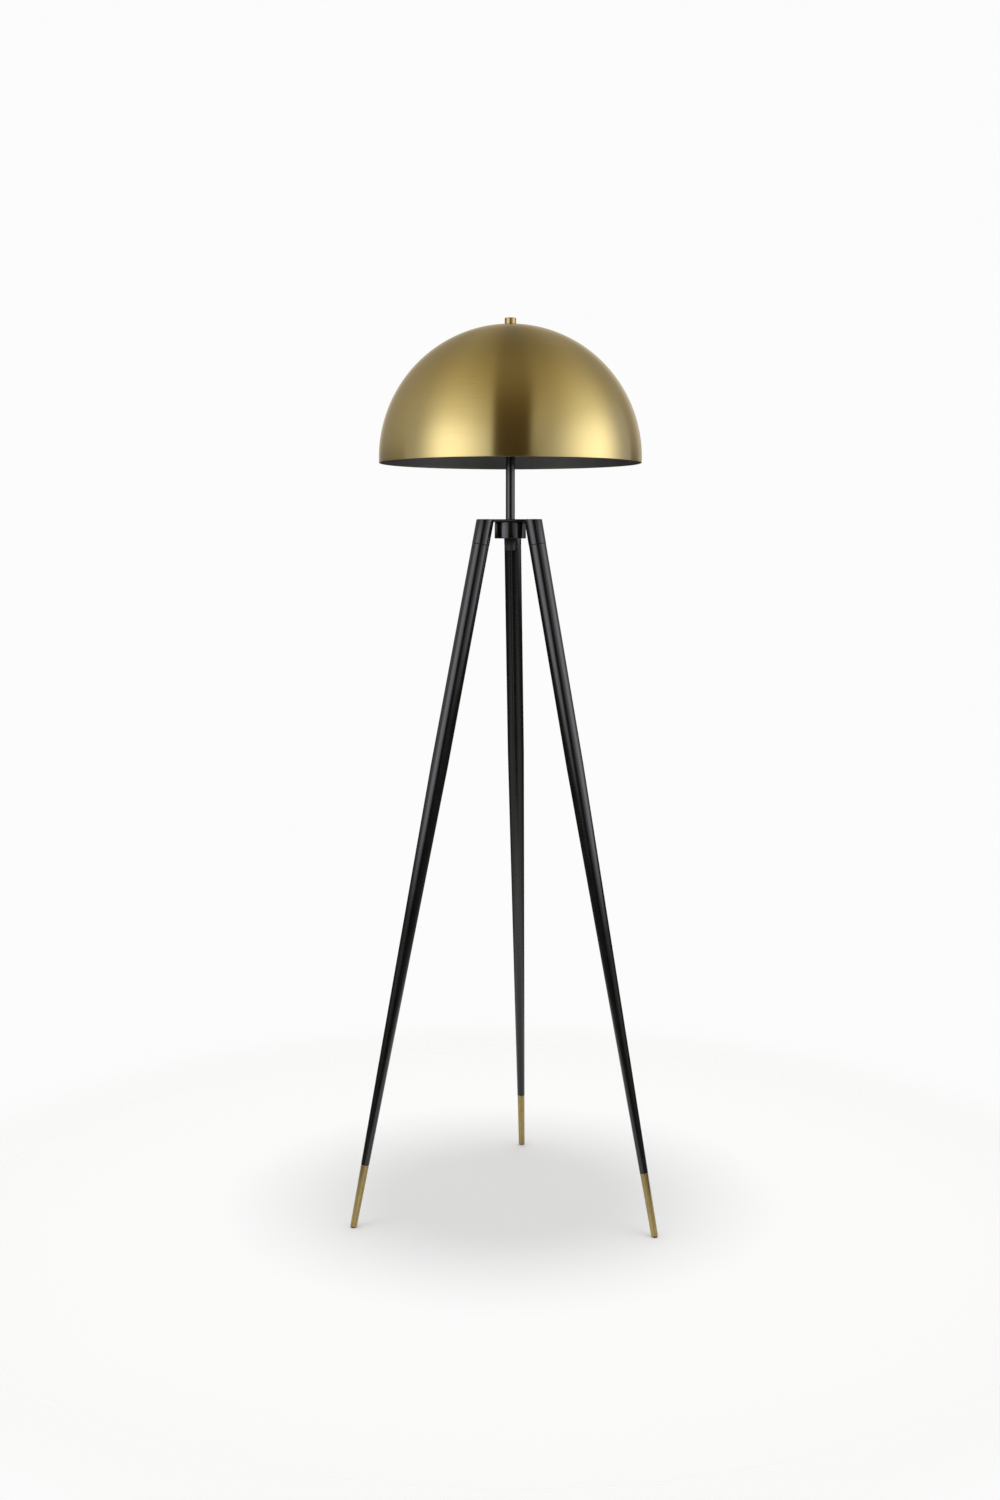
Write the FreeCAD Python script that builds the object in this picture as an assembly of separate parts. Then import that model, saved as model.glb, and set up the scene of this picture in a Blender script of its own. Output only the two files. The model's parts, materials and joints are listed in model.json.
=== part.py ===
import FreeCAD, Part
import math
import os

from FreeCAD import Vector

# Tripod floor lamp. Millimetres, +Z up. The origin is on the floor, on the stem's axis.
# The rear leg points to +Y and the lamp's front faces -Y.

# ---- Driving dimensions ----------------------------------------------------------------

# How far above a level an edge may reach and still count as lying on it
EDGE_MARGIN = 0.5

# Shade: a spun hemisphere on a short straight skirt, with a flat pressed in its crown
SHADE_RADIUS = 228.5
SHADE_SKIRT = 8.5
SHADE_WALL = 1.0
SHADE_RIM_Z = 1331.0
CROWN_RADIUS = 14.0
CROWN_HOLE_RADIUS = 4.0
CROWN_WASHER_RADIUS = 13.5
CROWN_WASHER_THICKNESS = 1.1

# Finial: a plain round nut with a loose washer under it
FINIAL_RADIUS = 9.9
FINIAL_EDGE = 0.5
FINIAL_TOP_Z = 1579.0
FINIAL_WASHER_RADIUS = 12.5
FINIAL_WASHER_THICKNESS = 1.0
FINIAL_THREAD_CLEARANCE = 0.075

# Hub: a triangular top plate over a wiring drum
HUB_TOP_Z = 1234.0
PLATE_THICKNESS = 4.5
PLATE_EDGE_DISTANCE = 29.0
PLATE_CORNER_RADIUS = 6.0
DRUM_RADIUS = 27.5
DRUM_WALL = 2.0
DRUM_BOTTOM_Z = 1201.0
DRUM_EDGE_ROUND = 0.8
COVER_RADIUS = 25.3
COVER_THICKNESS = 2.5
COVER_RECESS = 1.5
COVER_SCREW_CIRCLE = 21.0
COVER_SCREW_AZIMUTHS = (30.0, 150.0, 270.0)
COVER_SCREW_RADIUS = 1.5
COVER_SCREW_HEAD_RADIUS = 2.75
COVER_SCREW_HEAD_HEIGHT = 1.7
COVER_SCREW_GRIP = 8.0
COVER_SLOT_HALF_LENGTH = 1.6
COVER_SLOT_HALF_WIDTH = 0.35
COVER_SLOT_DEPTH = 0.9
BOSS_RADIUS = 4.8
CORD_BORE_RADIUS = 3.5
BUSHING_RADIUS = 5.0
BUSHING_SLEEVE_RADIUS = 8.3
BUSHING_SLEEVE_DROP = 20.5
BUSHING_SLEEVE_EDGE = 1.2
BUSHING_RISE = 8.0

# Legs: distances along a leg are measured down its axis from the hub's top plane
LEG_AZIMUTHS = {"rear": 90.0, "left": 210.0, "right": 330.0}
LEG_TOP_CIRCLE = 48.06
LEG_FOOT_CIRCLE = 304.3
SOCKET_RADIUS = 15.2
SOCKET_LENGTH = 45.0
SEAM_CHAMFER = 0.4
LEG_RADIUS = 15.0
LEG_END_RADIUS = 7.15
LEG_WALL = 1.5
TAPER_START = 434.0
TIP_START = 1148.0
TIP_TOP_RADIUS = 7.0
TIP_END_RADIUS = 5.85
TIP_EDGE_ROUND = 1.0
TIP_FLOOR_GAP = 0.4
STUD_RADIUS = 4.0
STUD_REACH = 20.0
INSERT_LENGTH = 25.0
SPIGOT_PLUG_LENGTH = 26.0
SPIGOT_RADIUS = 3.0
SPIGOT_REACH = 16.0
GLIDE_RADIUS = 4.4
GLIDE_STEM_RADIUS = 2.0
GLIDE_STEM_LENGTH = 8.0
HOLE_RELIEF = 1.0

# Stem: a tube clamped to the hub plate, with a lampholder nipple at its top
STEM_RADIUS = 8.0
STEM_WALL = 1.2
STEM_TOP_Z = 1347.0
BUSH_LENGTH = 16.0
NIPPLE_RADIUS = 5.0
NIPPLE_BORE = 3.5
LOWER_NIPPLE_BOTTOM_Z = 1216.0
LOCK_WASHER_RADIUS = 9.0
LOCK_WASHER_THICKNESS = 1.2
LOCKNUT_FLATS = 15.0
LOCKNUT_HEIGHT = 4.0
CHECK_RING_RADIUS = 10.0
CHECK_RING_THICKNESS = 1.5
UPPER_NIPPLE_SHOW = 1.2

# Harp: a sprung wire bow that stands in the saddle and carries the shade
SADDLE_HALF_SPAN = 31.0
SADDLE_WIDTH = 12.0
SADDLE_THICKNESS = 1.6
SADDLE_SHOULDER = 5.0
TONGUE_WIDTH = 2.6
TONGUE_HEIGHT = 4.5
HARP_WIRE_RADIUS = 1.6
HARP_NECK_RISE = 38.0
HARP_BELLY_RISE = 90.0
HARP_BELLY_HALF_WIDTH = 58.0
HARP_CROWN_HALF_WIDTH = 44.0
HARP_NECK_BEND = 30.0
HARP_BELLY_BEND = 60.0
HARP_CROWN_BEND = 34.0
HARP_STUD_BARREL_RADIUS = 6.0
HARP_STUD_BARREL_HEIGHT = 9.0
HARP_CROWN_RUN = 12.0
HARP_STUD_THREAD_RADIUS = 3.175
HARP_STUD_THREAD_LENGTH = 11.0
SLEEVE_CLEARANCE = 0.08
SLEEVE_RADIUS = 2.9
SLEEVE_LENGTH = 11.0
SLEEVE_SEAT_GAP = 0.1

# Lampholder, for a medium screw base 26 mm across
HOLDER_CAP_HEIGHT = 24.0
HOLDER_CAP_RADIUS = 16.9
HOLDER_CAP_WALL = 1.0
HOLDER_NECK_RADIUS = 8.5
HOLDER_NECK_HEIGHT = 6.4
HOLDER_SHOULDER_HEIGHT = 5.6
HOLDER_SHELL_WALL = 0.7
HOLDER_HEIGHT = 60.4
LINER_WALL = 0.5
LINER_TOP_GAP = 4.0
INSULATOR_RADIUS = 14.6
INSULATOR_BOTTOM = 17.4
INSULATOR_HEIGHT = 17.0
SCREW_SHELL_INNER_RADIUS = 13.4
SCREW_SHELL_WALL = 0.5
SCREW_SHELL_HEIGHT = 23.0
CONTACT_RADIUS = 4.0
CONTACT_THICKNESS = 1.2
TERMINAL_OFFSET = 10.5
TERMINAL_HEAD_RADIUS = 3.0
TERMINAL_HEAD_HEIGHT = 2.2
TERMINAL_SHANK_RADIUS = 1.75
TERMINAL_SHANK_LENGTH = 9.0

# Turn switch on the lampholder's front
SWITCH_HEIGHT = 27.6
SWITCH_SHAFT_RADIUS = 2.5
SWITCH_SHAFT_CLEARANCE = 0.08
SWITCH_SHAFT_INNER = 5.5
SWITCH_SHAFT_OUTER = 30.0
SWITCH_SIDE_HOLE_RADIUS = 3.4
KNOB_START = 18.6
KNOB_COLLAR_RADIUS = 4.8
KNOB_COLLAR_LENGTH = 5.0
KNOB_PADDLE_LENGTH = 12.0
KNOB_PADDLE_WIDTH = 16.0
KNOB_PADDLE_THICKNESS = 4.4
KNOB_PADDLE_ROUND = 2.64

# Lamp bulb, 60 mm across and 108 mm long
BULB_RADIUS = 30.0
BULB_LENGTH = 108.0
BULB_WALL = 0.8
BULB_NECK_RADIUS = 12.5
BULB_NECK_TOP = 28.8
BULB_GLASS_BOTTOM = 17.0
BULB_CAP_RADIUS = 13.05
BULB_CAP_BOTTOM = 4.3
BULB_CAP_TOP = 26.8
BULB_CAP_TAPER = 2.5
BULB_CAP_BOTTOM_RADIUS = 11.5
BULB_CONTACT_RADIUS = 4.6
BULB_CONTACT_THICKNESS = 1.2
BULB_INSULATOR_RADIUS = 5.6
BULB_MOUNT_RADIUS = 3.0
BULB_MOUNT_TOP = 50.0
FILAMENT_RADIUS = 0.9
FILAMENT_CIRCLE = 8.0
FILAMENT_BOTTOM = 48.0
FILAMENT_TOP = 84.0
FILAMENT_SPOKE_RADIUS = 0.5
FILAMENT_SPOKE_INSET = 1.0

# Lead wires from the lampholder's terminals to the connectors in the drum
LEAD_RADIUS = 1.1
LEAD_OFFSET = 1.3
LEAD_BEND = 6.6
LEAD_LOWER_Z = 1212.0
LEAD_LOWER_END = 15.0
LEAD_GAP = 0.1
CONNECTOR_START = 9.0
CONNECTOR_LENGTH = 15.0
CONNECTOR_MOUTH_RADIUS = 4.6
CONNECTOR_TIP_RADIUS = 3.0
CONNECTOR_BORE_RADIUS = 2.2
CONNECTOR_BORE_DEPTH = 9.0

# ---- Levels worked out from the driving dimensions -----------------------------------------

LEG_TILT = math.atan((LEG_FOOT_CIRCLE - LEG_TOP_CIRCLE) / HUB_TOP_Z)
TIP_END_Z = TIP_FLOOR_GAP + TIP_END_RADIUS * math.sin(LEG_TILT)
TIP_END = (HUB_TOP_Z - TIP_END_Z) / math.cos(LEG_TILT)
LEG_TAPER = (LEG_RADIUS - LEG_END_RADIUS) / (TIP_START - TAPER_START)

PLATE_BOTTOM_Z = HUB_TOP_Z - PLATE_THICKNESS
COVER_BOTTOM_Z = DRUM_BOTTOM_Z + COVER_RECESS
COVER_TOP_Z = COVER_BOTTOM_Z + COVER_THICKNESS

SADDLE_Z = STEM_TOP_Z + CHECK_RING_THICKNESS
SADDLE_TOP_Z = SADDLE_Z + SADDLE_THICKNESS
SHOULDER_Z = SADDLE_Z + SADDLE_SHOULDER
HARP_FOOT_Z = SHOULDER_Z + TONGUE_HEIGHT
HOLDER_Z = SADDLE_TOP_Z + LOCKNUT_HEIGHT
HOLDER_TOP_Z = HOLDER_Z + HOLDER_HEIGHT
UPPER_NIPPLE_TOP_Z = HOLDER_Z + HOLDER_NECK_HEIGHT + UPPER_NIPPLE_SHOW
INSULATOR_Z = HOLDER_Z + INSULATOR_BOTTOM
INSULATOR_TOP_Z = INSULATOR_Z + INSULATOR_HEIGHT
BULB_Z = INSULATOR_TOP_Z + CONTACT_THICKNESS
SWITCH_Z = HOLDER_Z + SWITCH_HEIGHT
LEAD_UPPER_Z = INSULATOR_Z - LEAD_RADIUS - LEAD_GAP

DOME_CENTRE_Z = SHADE_RIM_Z + SHADE_SKIRT
CROWN_TOP_Z = DOME_CENTRE_Z + math.sqrt(SHADE_RADIUS ** 2 - CROWN_RADIUS ** 2)
CROWN_UNDER_Z = CROWN_TOP_Z - SHADE_WALL
SHADE_SEAT_Z = CROWN_UNDER_Z - CROWN_WASHER_THICKNESS
HARP_CROWN_Z = SHADE_SEAT_Z - HARP_STUD_BARREL_HEIGHT / 2.0
FINIAL_BOTTOM_Z = CROWN_TOP_Z + FINIAL_WASHER_THICKNESS

# ---- Shape helpers ---------------------------------------------------------------------------


def cylinder(radius, low, high, x=0.0):
    return Part.makeCylinder(radius, high - low, Vector(x, 0, low))


def tube(outer, inner, low, high):
    return cylinder(outer, low, high).cut(cylinder(inner, low, high))


def forward_cylinder(radius, start, end, z):
    """A cylinder along -Y, from start to end millimetres in front of the stem's axis."""
    return Part.makeCylinder(radius, end - start, Vector(0, -start, z), Vector(0, -1, 0))


def box(x_low, x_high, y_low, y_high, z_low, z_high):
    corner = Vector(x_low, y_low, z_low)
    return Part.makeBox(x_high - x_low, y_high - y_low, z_high - z_low, corner)


def hexagon(flats, low, high):
    corner_radius = flats / math.sqrt(3.0)
    corners = []
    for step in range(7):
        turn = math.radians(60.0 * step)
        corners.append(Vector(corner_radius * math.cos(turn), corner_radius * math.sin(turn), low))
    return Part.Face(Part.makePolygon(corners)).extrude(Vector(0, 0, high - low))


def at(radius, z):
    """A point of a turned piece's outline."""
    return Vector(radius, 0, z)


def line(start, end):
    return Part.LineSegment(start, end).toShape()


def arc(start, middle, end):
    return Part.Arc(start, middle, end).toShape()


def on_circle(centre, radius, degrees):
    turn = math.radians(degrees)
    return centre + Vector(radius * math.cos(turn), 0, radius * math.sin(turn))


def turned(edges):
    """A solid of revolution about +Z from the closed outline that the edges make."""
    face = Part.Face(Part.Wire(edges))
    return face.revolve(Vector(0, 0, 0), Vector(0, 0, 1), 360)


def turned_polygon(points):
    corners = [at(radius, z) for radius, z in points]
    corners.append(corners[0])
    return turned(Part.makePolygon(corners).Edges)


def bent_rod(points, bend, radius):
    """A round rod along straight runs that tangent arcs join. bend holds one radius per corner."""
    edges = []
    start = points[0]
    for index, corner in enumerate(points[1:-1]):
        back = (start - corner).normalize()
        onward = (points[index + 2] - corner).normalize()
        half_angle = back.getAngle(onward) / 2.0
        setback = bend[index] / math.tan(half_angle)
        middle_way = (back + onward).normalize()
        reach = bend[index] / math.sin(half_angle) - bend[index]
        entry = corner + back * setback
        leaving = corner + onward * setback
        edges.append(line(start, entry))
        edges.append(arc(entry, corner + middle_way * reach, leaving))
        start = leaving
    edges.append(line(start, points[-1]))
    path = Part.Wire(edges)
    section = Part.Wire(Part.Circle(points[0], points[1] - points[0], radius).toShape())
    return path.makePipeShell([section], True, False)


def mirrored(shape):
    """The same piece on the other side of the YZ plane."""
    return shape.mirror(Vector(0, 0, 0), Vector(1, 0, 0))


def around(shape, azimuth):
    copy = shape.copy()
    copy.rotate(Vector(0, 0, 0), Vector(0, 0, 1), azimuth)
    return copy


def on_leg(shape, azimuth):
    """Moves a piece modelled down the -Z axis from the origin to its place on a leg."""
    copy = shape.copy()
    copy.rotate(Vector(0, 0, 0), Vector(0, 1, 0), -math.degrees(LEG_TILT))
    copy.translate(Vector(LEG_TOP_CIRCLE, 0, HUB_TOP_Z))
    copy.rotate(Vector(0, 0, 0), Vector(0, 0, 1), azimuth)
    return copy


def leg_radius(distance):
    """The leg's outer radius at a distance down its axis."""
    return LEG_RADIUS - LEG_TAPER * max(0.0, distance - TAPER_START)


def export(name, *solids):
    shape = solids[0] if len(solids) == 1 else Part.makeCompound(list(solids))
    shape.exportStep(os.path.join("parts", name + ".step"))


# ---- Legs ------------------------------------------------------------------------------------


def leg_socket(azimuth):
    blank = cylinder(SOCKET_RADIUS, -SOCKET_LENGTH, SOCKET_RADIUS)
    lower_edge = [edge for edge in blank.Edges if edge.BoundBox.ZMax < EDGE_MARGIN - SOCKET_LENGTH]
    blank = blank.makeChamfer(SEAM_CHAMFER, lower_edge)
    tapped_hole = cylinder(STUD_RADIUS, -SOCKET_LENGTH, STUD_REACH + HOLE_RELIEF - SOCKET_LENGTH)
    placed = on_leg(blank.cut(tapped_hole), azimuth)
    reach = LEG_TOP_CIRCLE + 2.0 * SOCKET_RADIUS
    above_hub = box(-reach, reach, -reach, reach, HUB_TOP_Z, HUB_TOP_Z + 3.0 * SOCKET_RADIUS)
    return placed.cut(above_hub)


def leg_stud():
    return cylinder(STUD_RADIUS, -SOCKET_LENGTH - STUD_REACH, STUD_REACH - SOCKET_LENGTH)


def leg_insert():
    return tube(LEG_RADIUS - LEG_WALL, STUD_RADIUS, -SOCKET_LENGTH - INSERT_LENGTH, -SOCKET_LENGTH)


def leg_tube():
    return turned_polygon([
        (LEG_RADIUS - SEAM_CHAMFER, -SOCKET_LENGTH),
        (LEG_RADIUS, -SOCKET_LENGTH - SEAM_CHAMFER),
        (LEG_RADIUS, -TAPER_START),
        (LEG_END_RADIUS, -TIP_START),
        (LEG_END_RADIUS - LEG_WALL, -TIP_START),
        (LEG_RADIUS - LEG_WALL, -TAPER_START),
        (LEG_RADIUS - LEG_WALL, -SOCKET_LENGTH),
    ])


def tip_spigot():
    """A plug fixed in the leg tube's lower end, with a stud that the brass tip screws onto."""
    plug_top = TIP_START - SPIGOT_PLUG_LENGTH
    plug = turned_polygon([
        (0.0, -plug_top),
        (leg_radius(plug_top) - LEG_WALL, -plug_top),
        (LEG_END_RADIUS - LEG_WALL, -TIP_START),
        (0.0, -TIP_START),
    ])
    return plug.fuse(cylinder(SPIGOT_RADIUS, -TIP_START - SPIGOT_REACH, -TIP_START)).removeSplitter()


def foot_tip():
    rounding = at(TIP_END_RADIUS - TIP_EDGE_ROUND, TIP_EDGE_ROUND - TIP_END)
    corner = (at(0, -TIP_START), at(TIP_TOP_RADIUS, -TIP_START))
    side_end = on_circle(rounding, TIP_EDGE_ROUND, 0)
    foot_edge = on_circle(rounding, TIP_EDGE_ROUND, -90)
    blank = turned([
        line(corner[0], corner[1]),
        line(corner[1], side_end),
        arc(side_end, on_circle(rounding, TIP_EDGE_ROUND, -45), foot_edge),
        line(foot_edge, at(0, -TIP_END)),
        line(at(0, -TIP_END), corner[0]),
    ])
    tapped_hole = cylinder(SPIGOT_RADIUS, -TIP_START - SPIGOT_REACH - HOLE_RELIEF, -TIP_START)
    glide_hole = cylinder(GLIDE_STEM_RADIUS, -TIP_END, GLIDE_STEM_LENGTH + HOLE_RELIEF - TIP_END)
    return blank.cut(tapped_hole).cut(glide_hole)


def foot_glide(azimuth):
    """A pad pressed into the tip's end and cut level, so that it lies flat on the floor."""
    pad = cylinder(GLIDE_RADIUS, -TIP_END - 2.0 * GLIDE_RADIUS, -TIP_END)
    stem = cylinder(GLIDE_STEM_RADIUS, -TIP_END, GLIDE_STEM_LENGTH - TIP_END)
    placed = on_leg(pad.fuse(stem), azimuth)
    reach = LEG_FOOT_CIRCLE + 4.0 * GLIDE_RADIUS
    below_floor = box(-reach, reach, -reach, reach, -4.0 * GLIDE_RADIUS, 0.0)
    return placed.cut(below_floor)


def export_legs():
    for side, azimuth in LEG_AZIMUTHS.items():
        export("leg_socket_" + side, leg_socket(azimuth))
        export("leg_tube_" + side, on_leg(leg_tube(), azimuth))
        export("foot_tip_" + side, on_leg(foot_tip(), azimuth))
        export("foot_glide_" + side, foot_glide(azimuth))
    azimuths = LEG_AZIMUTHS.values()
    export("leg_studs", *[on_leg(leg_stud(), azimuth) for azimuth in azimuths])
    export("leg_inserts", *[on_leg(leg_insert(), azimuth) for azimuth in azimuths])
    export("tip_spigots", *[on_leg(tip_spigot(), azimuth) for azimuth in azimuths])


# ---- Hub -------------------------------------------------------------------------------------


def hub_plate():
    """A rounded triangle with the three sockets let into its corners."""
    corner_distance = 2.0 * PLATE_EDGE_DISTANCE
    corners = []
    for azimuth in (90.0, 210.0, 330.0, 90.0):
        turn = math.radians(azimuth)
        point = Vector(corner_distance * math.cos(turn), corner_distance * math.sin(turn), PLATE_BOTTOM_Z)
        corners.append(point)
    plate = Part.Face(Part.makePolygon(corners)).extrude(Vector(0, 0, PLATE_THICKNESS))
    upright = [edge for edge in plate.Edges if edge.BoundBox.ZLength > PLATE_THICKNESS / 2.0]
    plate = plate.makeFillet(PLATE_CORNER_RADIUS, upright)
    plate = plate.cut(cylinder(NIPPLE_RADIUS, PLATE_BOTTOM_Z, HUB_TOP_Z))
    for azimuth in LEG_AZIMUTHS.values():
        post = on_leg(cylinder(SOCKET_RADIUS, -SOCKET_LENGTH, SOCKET_RADIUS), azimuth)
        beyond = on_leg(box(0, corner_distance, -corner_distance, corner_distance,
                            -SOCKET_LENGTH, SOCKET_RADIUS), azimuth)
        plate = plate.cut(post).cut(beyond)
    return plate


def hub_drum():
    drum = cylinder(DRUM_RADIUS, DRUM_BOTTOM_Z, PLATE_BOTTOM_Z)
    lower_edge = [edge for edge in drum.Edges if edge.BoundBox.ZMax < DRUM_BOTTOM_Z + EDGE_MARGIN]
    drum = drum.makeFillet(DRUM_EDGE_ROUND, lower_edge)
    drum = drum.cut(cylinder(DRUM_RADIUS - DRUM_WALL, DRUM_BOTTOM_Z, PLATE_BOTTOM_Z))
    for azimuth in COVER_SCREW_AZIMUTHS:
        boss = cylinder(BOSS_RADIUS, COVER_TOP_Z, PLATE_BOTTOM_Z, COVER_SCREW_CIRCLE)
        drum = drum.fuse(around(boss, azimuth))
    for azimuth in COVER_SCREW_AZIMUTHS:
        drum = drum.cut(around(cover_screw_blank(), azimuth))
    return drum.removeSplitter()


def cover_screw_blank():
    """An M3 countersunk screw, head down, before its cross slot is cut."""
    head = Part.makeCone(COVER_SCREW_HEAD_RADIUS, COVER_SCREW_RADIUS, COVER_SCREW_HEAD_HEIGHT,
                         Vector(COVER_SCREW_CIRCLE, 0, COVER_BOTTOM_Z))
    shank_top = COVER_TOP_Z + COVER_SCREW_GRIP
    shank = cylinder(COVER_SCREW_RADIUS, COVER_BOTTOM_Z, shank_top, COVER_SCREW_CIRCLE)
    return head.fuse(shank).removeSplitter()


def cover_screw():
    centre = COVER_SCREW_CIRCLE
    slot_top = COVER_BOTTOM_Z + COVER_SLOT_DEPTH
    along = box(centre - COVER_SLOT_HALF_LENGTH, centre + COVER_SLOT_HALF_LENGTH,
                -COVER_SLOT_HALF_WIDTH, COVER_SLOT_HALF_WIDTH, COVER_BOTTOM_Z, slot_top)
    across = box(centre - COVER_SLOT_HALF_WIDTH, centre + COVER_SLOT_HALF_WIDTH,
                 -COVER_SLOT_HALF_LENGTH, COVER_SLOT_HALF_LENGTH, COVER_BOTTOM_Z, slot_top)
    return cover_screw_blank().cut(along).cut(across)


def hub_cover():
    cover = tube(COVER_RADIUS, BUSHING_RADIUS, COVER_BOTTOM_Z, COVER_TOP_Z)
    for azimuth in COVER_SCREW_AZIMUTHS:
        cover = cover.cut(around(cover_screw_blank(), azimuth))
    return cover


def cord_bushing():
    """The strain relief that the mains cord would leave by: a sleeve that hangs under the cover's
    centre, on a neck that snaps through it."""
    bottom = DRUM_BOTTOM_Z - BUSHING_SLEEVE_DROP
    sleeve = cylinder(BUSHING_SLEEVE_RADIUS, bottom, COVER_BOTTOM_Z)
    low_edges = [edge for edge in sleeve.Edges if edge.BoundBox.ZMax < bottom + EDGE_MARGIN]
    sleeve = sleeve.makeFillet(BUSHING_SLEEVE_EDGE, low_edges)
    neck = cylinder(BUSHING_RADIUS, COVER_BOTTOM_Z, DRUM_BOTTOM_Z + BUSHING_RISE)
    bore = cylinder(CORD_BORE_RADIUS, bottom, DRUM_BOTTOM_Z + BUSHING_RISE)
    return sleeve.fuse(neck).removeSplitter().cut(bore)


def export_hub():
    screws = [around(cover_screw(), azimuth) for azimuth in COVER_SCREW_AZIMUTHS]
    export("hub_plate", hub_plate())
    export("hub_drum", hub_drum())
    export("hub_cover", hub_cover())
    export("hub_cover_screws", *screws)
    export("cord_bushing", cord_bushing())


# ---- Stem ------------------------------------------------------------------------------------


def export_stem():
    bore = STEM_RADIUS - STEM_WALL
    nut_top = PLATE_BOTTOM_Z - LOCK_WASHER_THICKNESS
    nut = hexagon(LOCKNUT_FLATS, nut_top - LOCKNUT_HEIGHT, nut_top)
    nut_hole = cylinder(NIPPLE_RADIUS, nut_top - LOCKNUT_HEIGHT, nut_top)
    export("stem_tube", tube(STEM_RADIUS, bore, HUB_TOP_Z, STEM_TOP_Z))
    export("stem_bush_lower", tube(bore, NIPPLE_RADIUS, HUB_TOP_Z, HUB_TOP_Z + BUSH_LENGTH))
    export("stem_bush_upper", tube(bore, NIPPLE_RADIUS, STEM_TOP_Z - BUSH_LENGTH, STEM_TOP_Z))
    export("stem_nipple_lower",
           tube(NIPPLE_RADIUS, NIPPLE_BORE, LOWER_NIPPLE_BOTTOM_Z, HUB_TOP_Z + BUSH_LENGTH))
    export("stem_lock_washer", tube(LOCK_WASHER_RADIUS, NIPPLE_RADIUS, nut_top, PLATE_BOTTOM_Z))
    export("stem_locknut", nut.cut(nut_hole))
    export("stem_nipple_upper",
           tube(NIPPLE_RADIUS, NIPPLE_BORE, STEM_TOP_Z - BUSH_LENGTH, UPPER_NIPPLE_TOP_Z))
    export("stem_check_ring", tube(CHECK_RING_RADIUS, NIPPLE_RADIUS, STEM_TOP_Z, SADDLE_Z))


# ---- Harp ------------------------------------------------------------------------------------


def harp_saddle():
    """A strip with both ends turned up, each ending in a tongue that the harp's foot sits on."""
    outer = SADDLE_HALF_SPAN + SADDLE_THICKNESS / 2.0
    inner = SADDLE_HALF_SPAN - SADDLE_THICKNESS / 2.0
    half_width = SADDLE_WIDTH / 2.0
    strip = box(-outer, outer, -half_width, half_width, SADDLE_Z, SHOULDER_Z)
    bends = [edge for edge in strip.Edges
             if edge.BoundBox.ZMax < SADDLE_Z + EDGE_MARGIN and edge.BoundBox.YLength > half_width]
    strip = strip.makeFillet(2.0 * SADDLE_THICKNESS, bends)
    hollow = box(-inner, inner, -half_width, half_width, SADDLE_TOP_Z, SHOULDER_Z)
    hollow_bends = [edge for edge in hollow.Edges
                    if edge.BoundBox.ZMax < SADDLE_TOP_Z + EDGE_MARGIN and edge.BoundBox.YLength > half_width]
    hollow = hollow.makeFillet(SADDLE_THICKNESS, hollow_bends)
    strip = strip.cut(hollow)
    tongue = box(inner, outer, -TONGUE_WIDTH / 2.0, TONGUE_WIDTH / 2.0, SHOULDER_Z, HARP_FOOT_Z)
    strip = strip.fuse([tongue, mirrored(tongue)]).removeSplitter()
    return strip.cut(cylinder(NIPPLE_RADIUS, SADDLE_Z, SADDLE_TOP_Z))


def harp():
    neck_z = HARP_FOOT_Z + HARP_NECK_RISE
    belly_z = HARP_FOOT_Z + HARP_BELLY_RISE
    right = [
        Vector(HARP_CROWN_HALF_WIDTH, 0, HARP_CROWN_Z),
        Vector(HARP_BELLY_HALF_WIDTH, 0, belly_z),
        Vector(SADDLE_HALF_SPAN, 0, neck_z),
        Vector(SADDLE_HALF_SPAN, 0, HARP_FOOT_Z),
    ]
    left = [Vector(-point.x, 0, point.z) for point in reversed(right)]
    bends = [HARP_NECK_BEND, HARP_BELLY_BEND, HARP_CROWN_BEND]
    return bent_rod(left + right, bends + bends[::-1], HARP_WIRE_RADIUS)


def harp_stud():
    """The swivel-free stud brazed on the harp's crown. The shade rests on its barrel."""
    barrel = cylinder(HARP_STUD_BARREL_RADIUS, SHADE_SEAT_Z - HARP_STUD_BARREL_HEIGHT, SHADE_SEAT_Z)
    thread = cylinder(HARP_STUD_THREAD_RADIUS, SHADE_SEAT_Z, SHADE_SEAT_Z + HARP_STUD_THREAD_LENGTH)
    crown_wire = Part.makeCylinder(HARP_WIRE_RADIUS, 2.0 * HARP_CROWN_RUN,
                                   Vector(-HARP_CROWN_RUN, 0, HARP_CROWN_Z), Vector(1, 0, 0))
    return barrel.fuse(thread).removeSplitter().cut(crown_wire)


def harp_sleeve():
    low = SHOULDER_Z + SLEEVE_SEAT_GAP
    sleeve = tube(SLEEVE_RADIUS, HARP_WIRE_RADIUS + SLEEVE_CLEARANCE, low, low + SLEEVE_LENGTH)
    sleeve.translate(Vector(SADDLE_HALF_SPAN, 0, 0))
    return sleeve


def export_harp():
    nut = hexagon(LOCKNUT_FLATS, SADDLE_TOP_Z, HOLDER_Z)
    export("harp_saddle", harp_saddle())
    export("saddle_locknut", nut.cut(cylinder(NIPPLE_RADIUS, SADDLE_TOP_Z, HOLDER_Z)))
    export("harp", harp())
    export("harp_stud", harp_stud())
    export("harp_sleeve_right", harp_sleeve())
    export("harp_sleeve_left", mirrored(harp_sleeve()))


# ---- Lampholder ------------------------------------------------------------------------------


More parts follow.
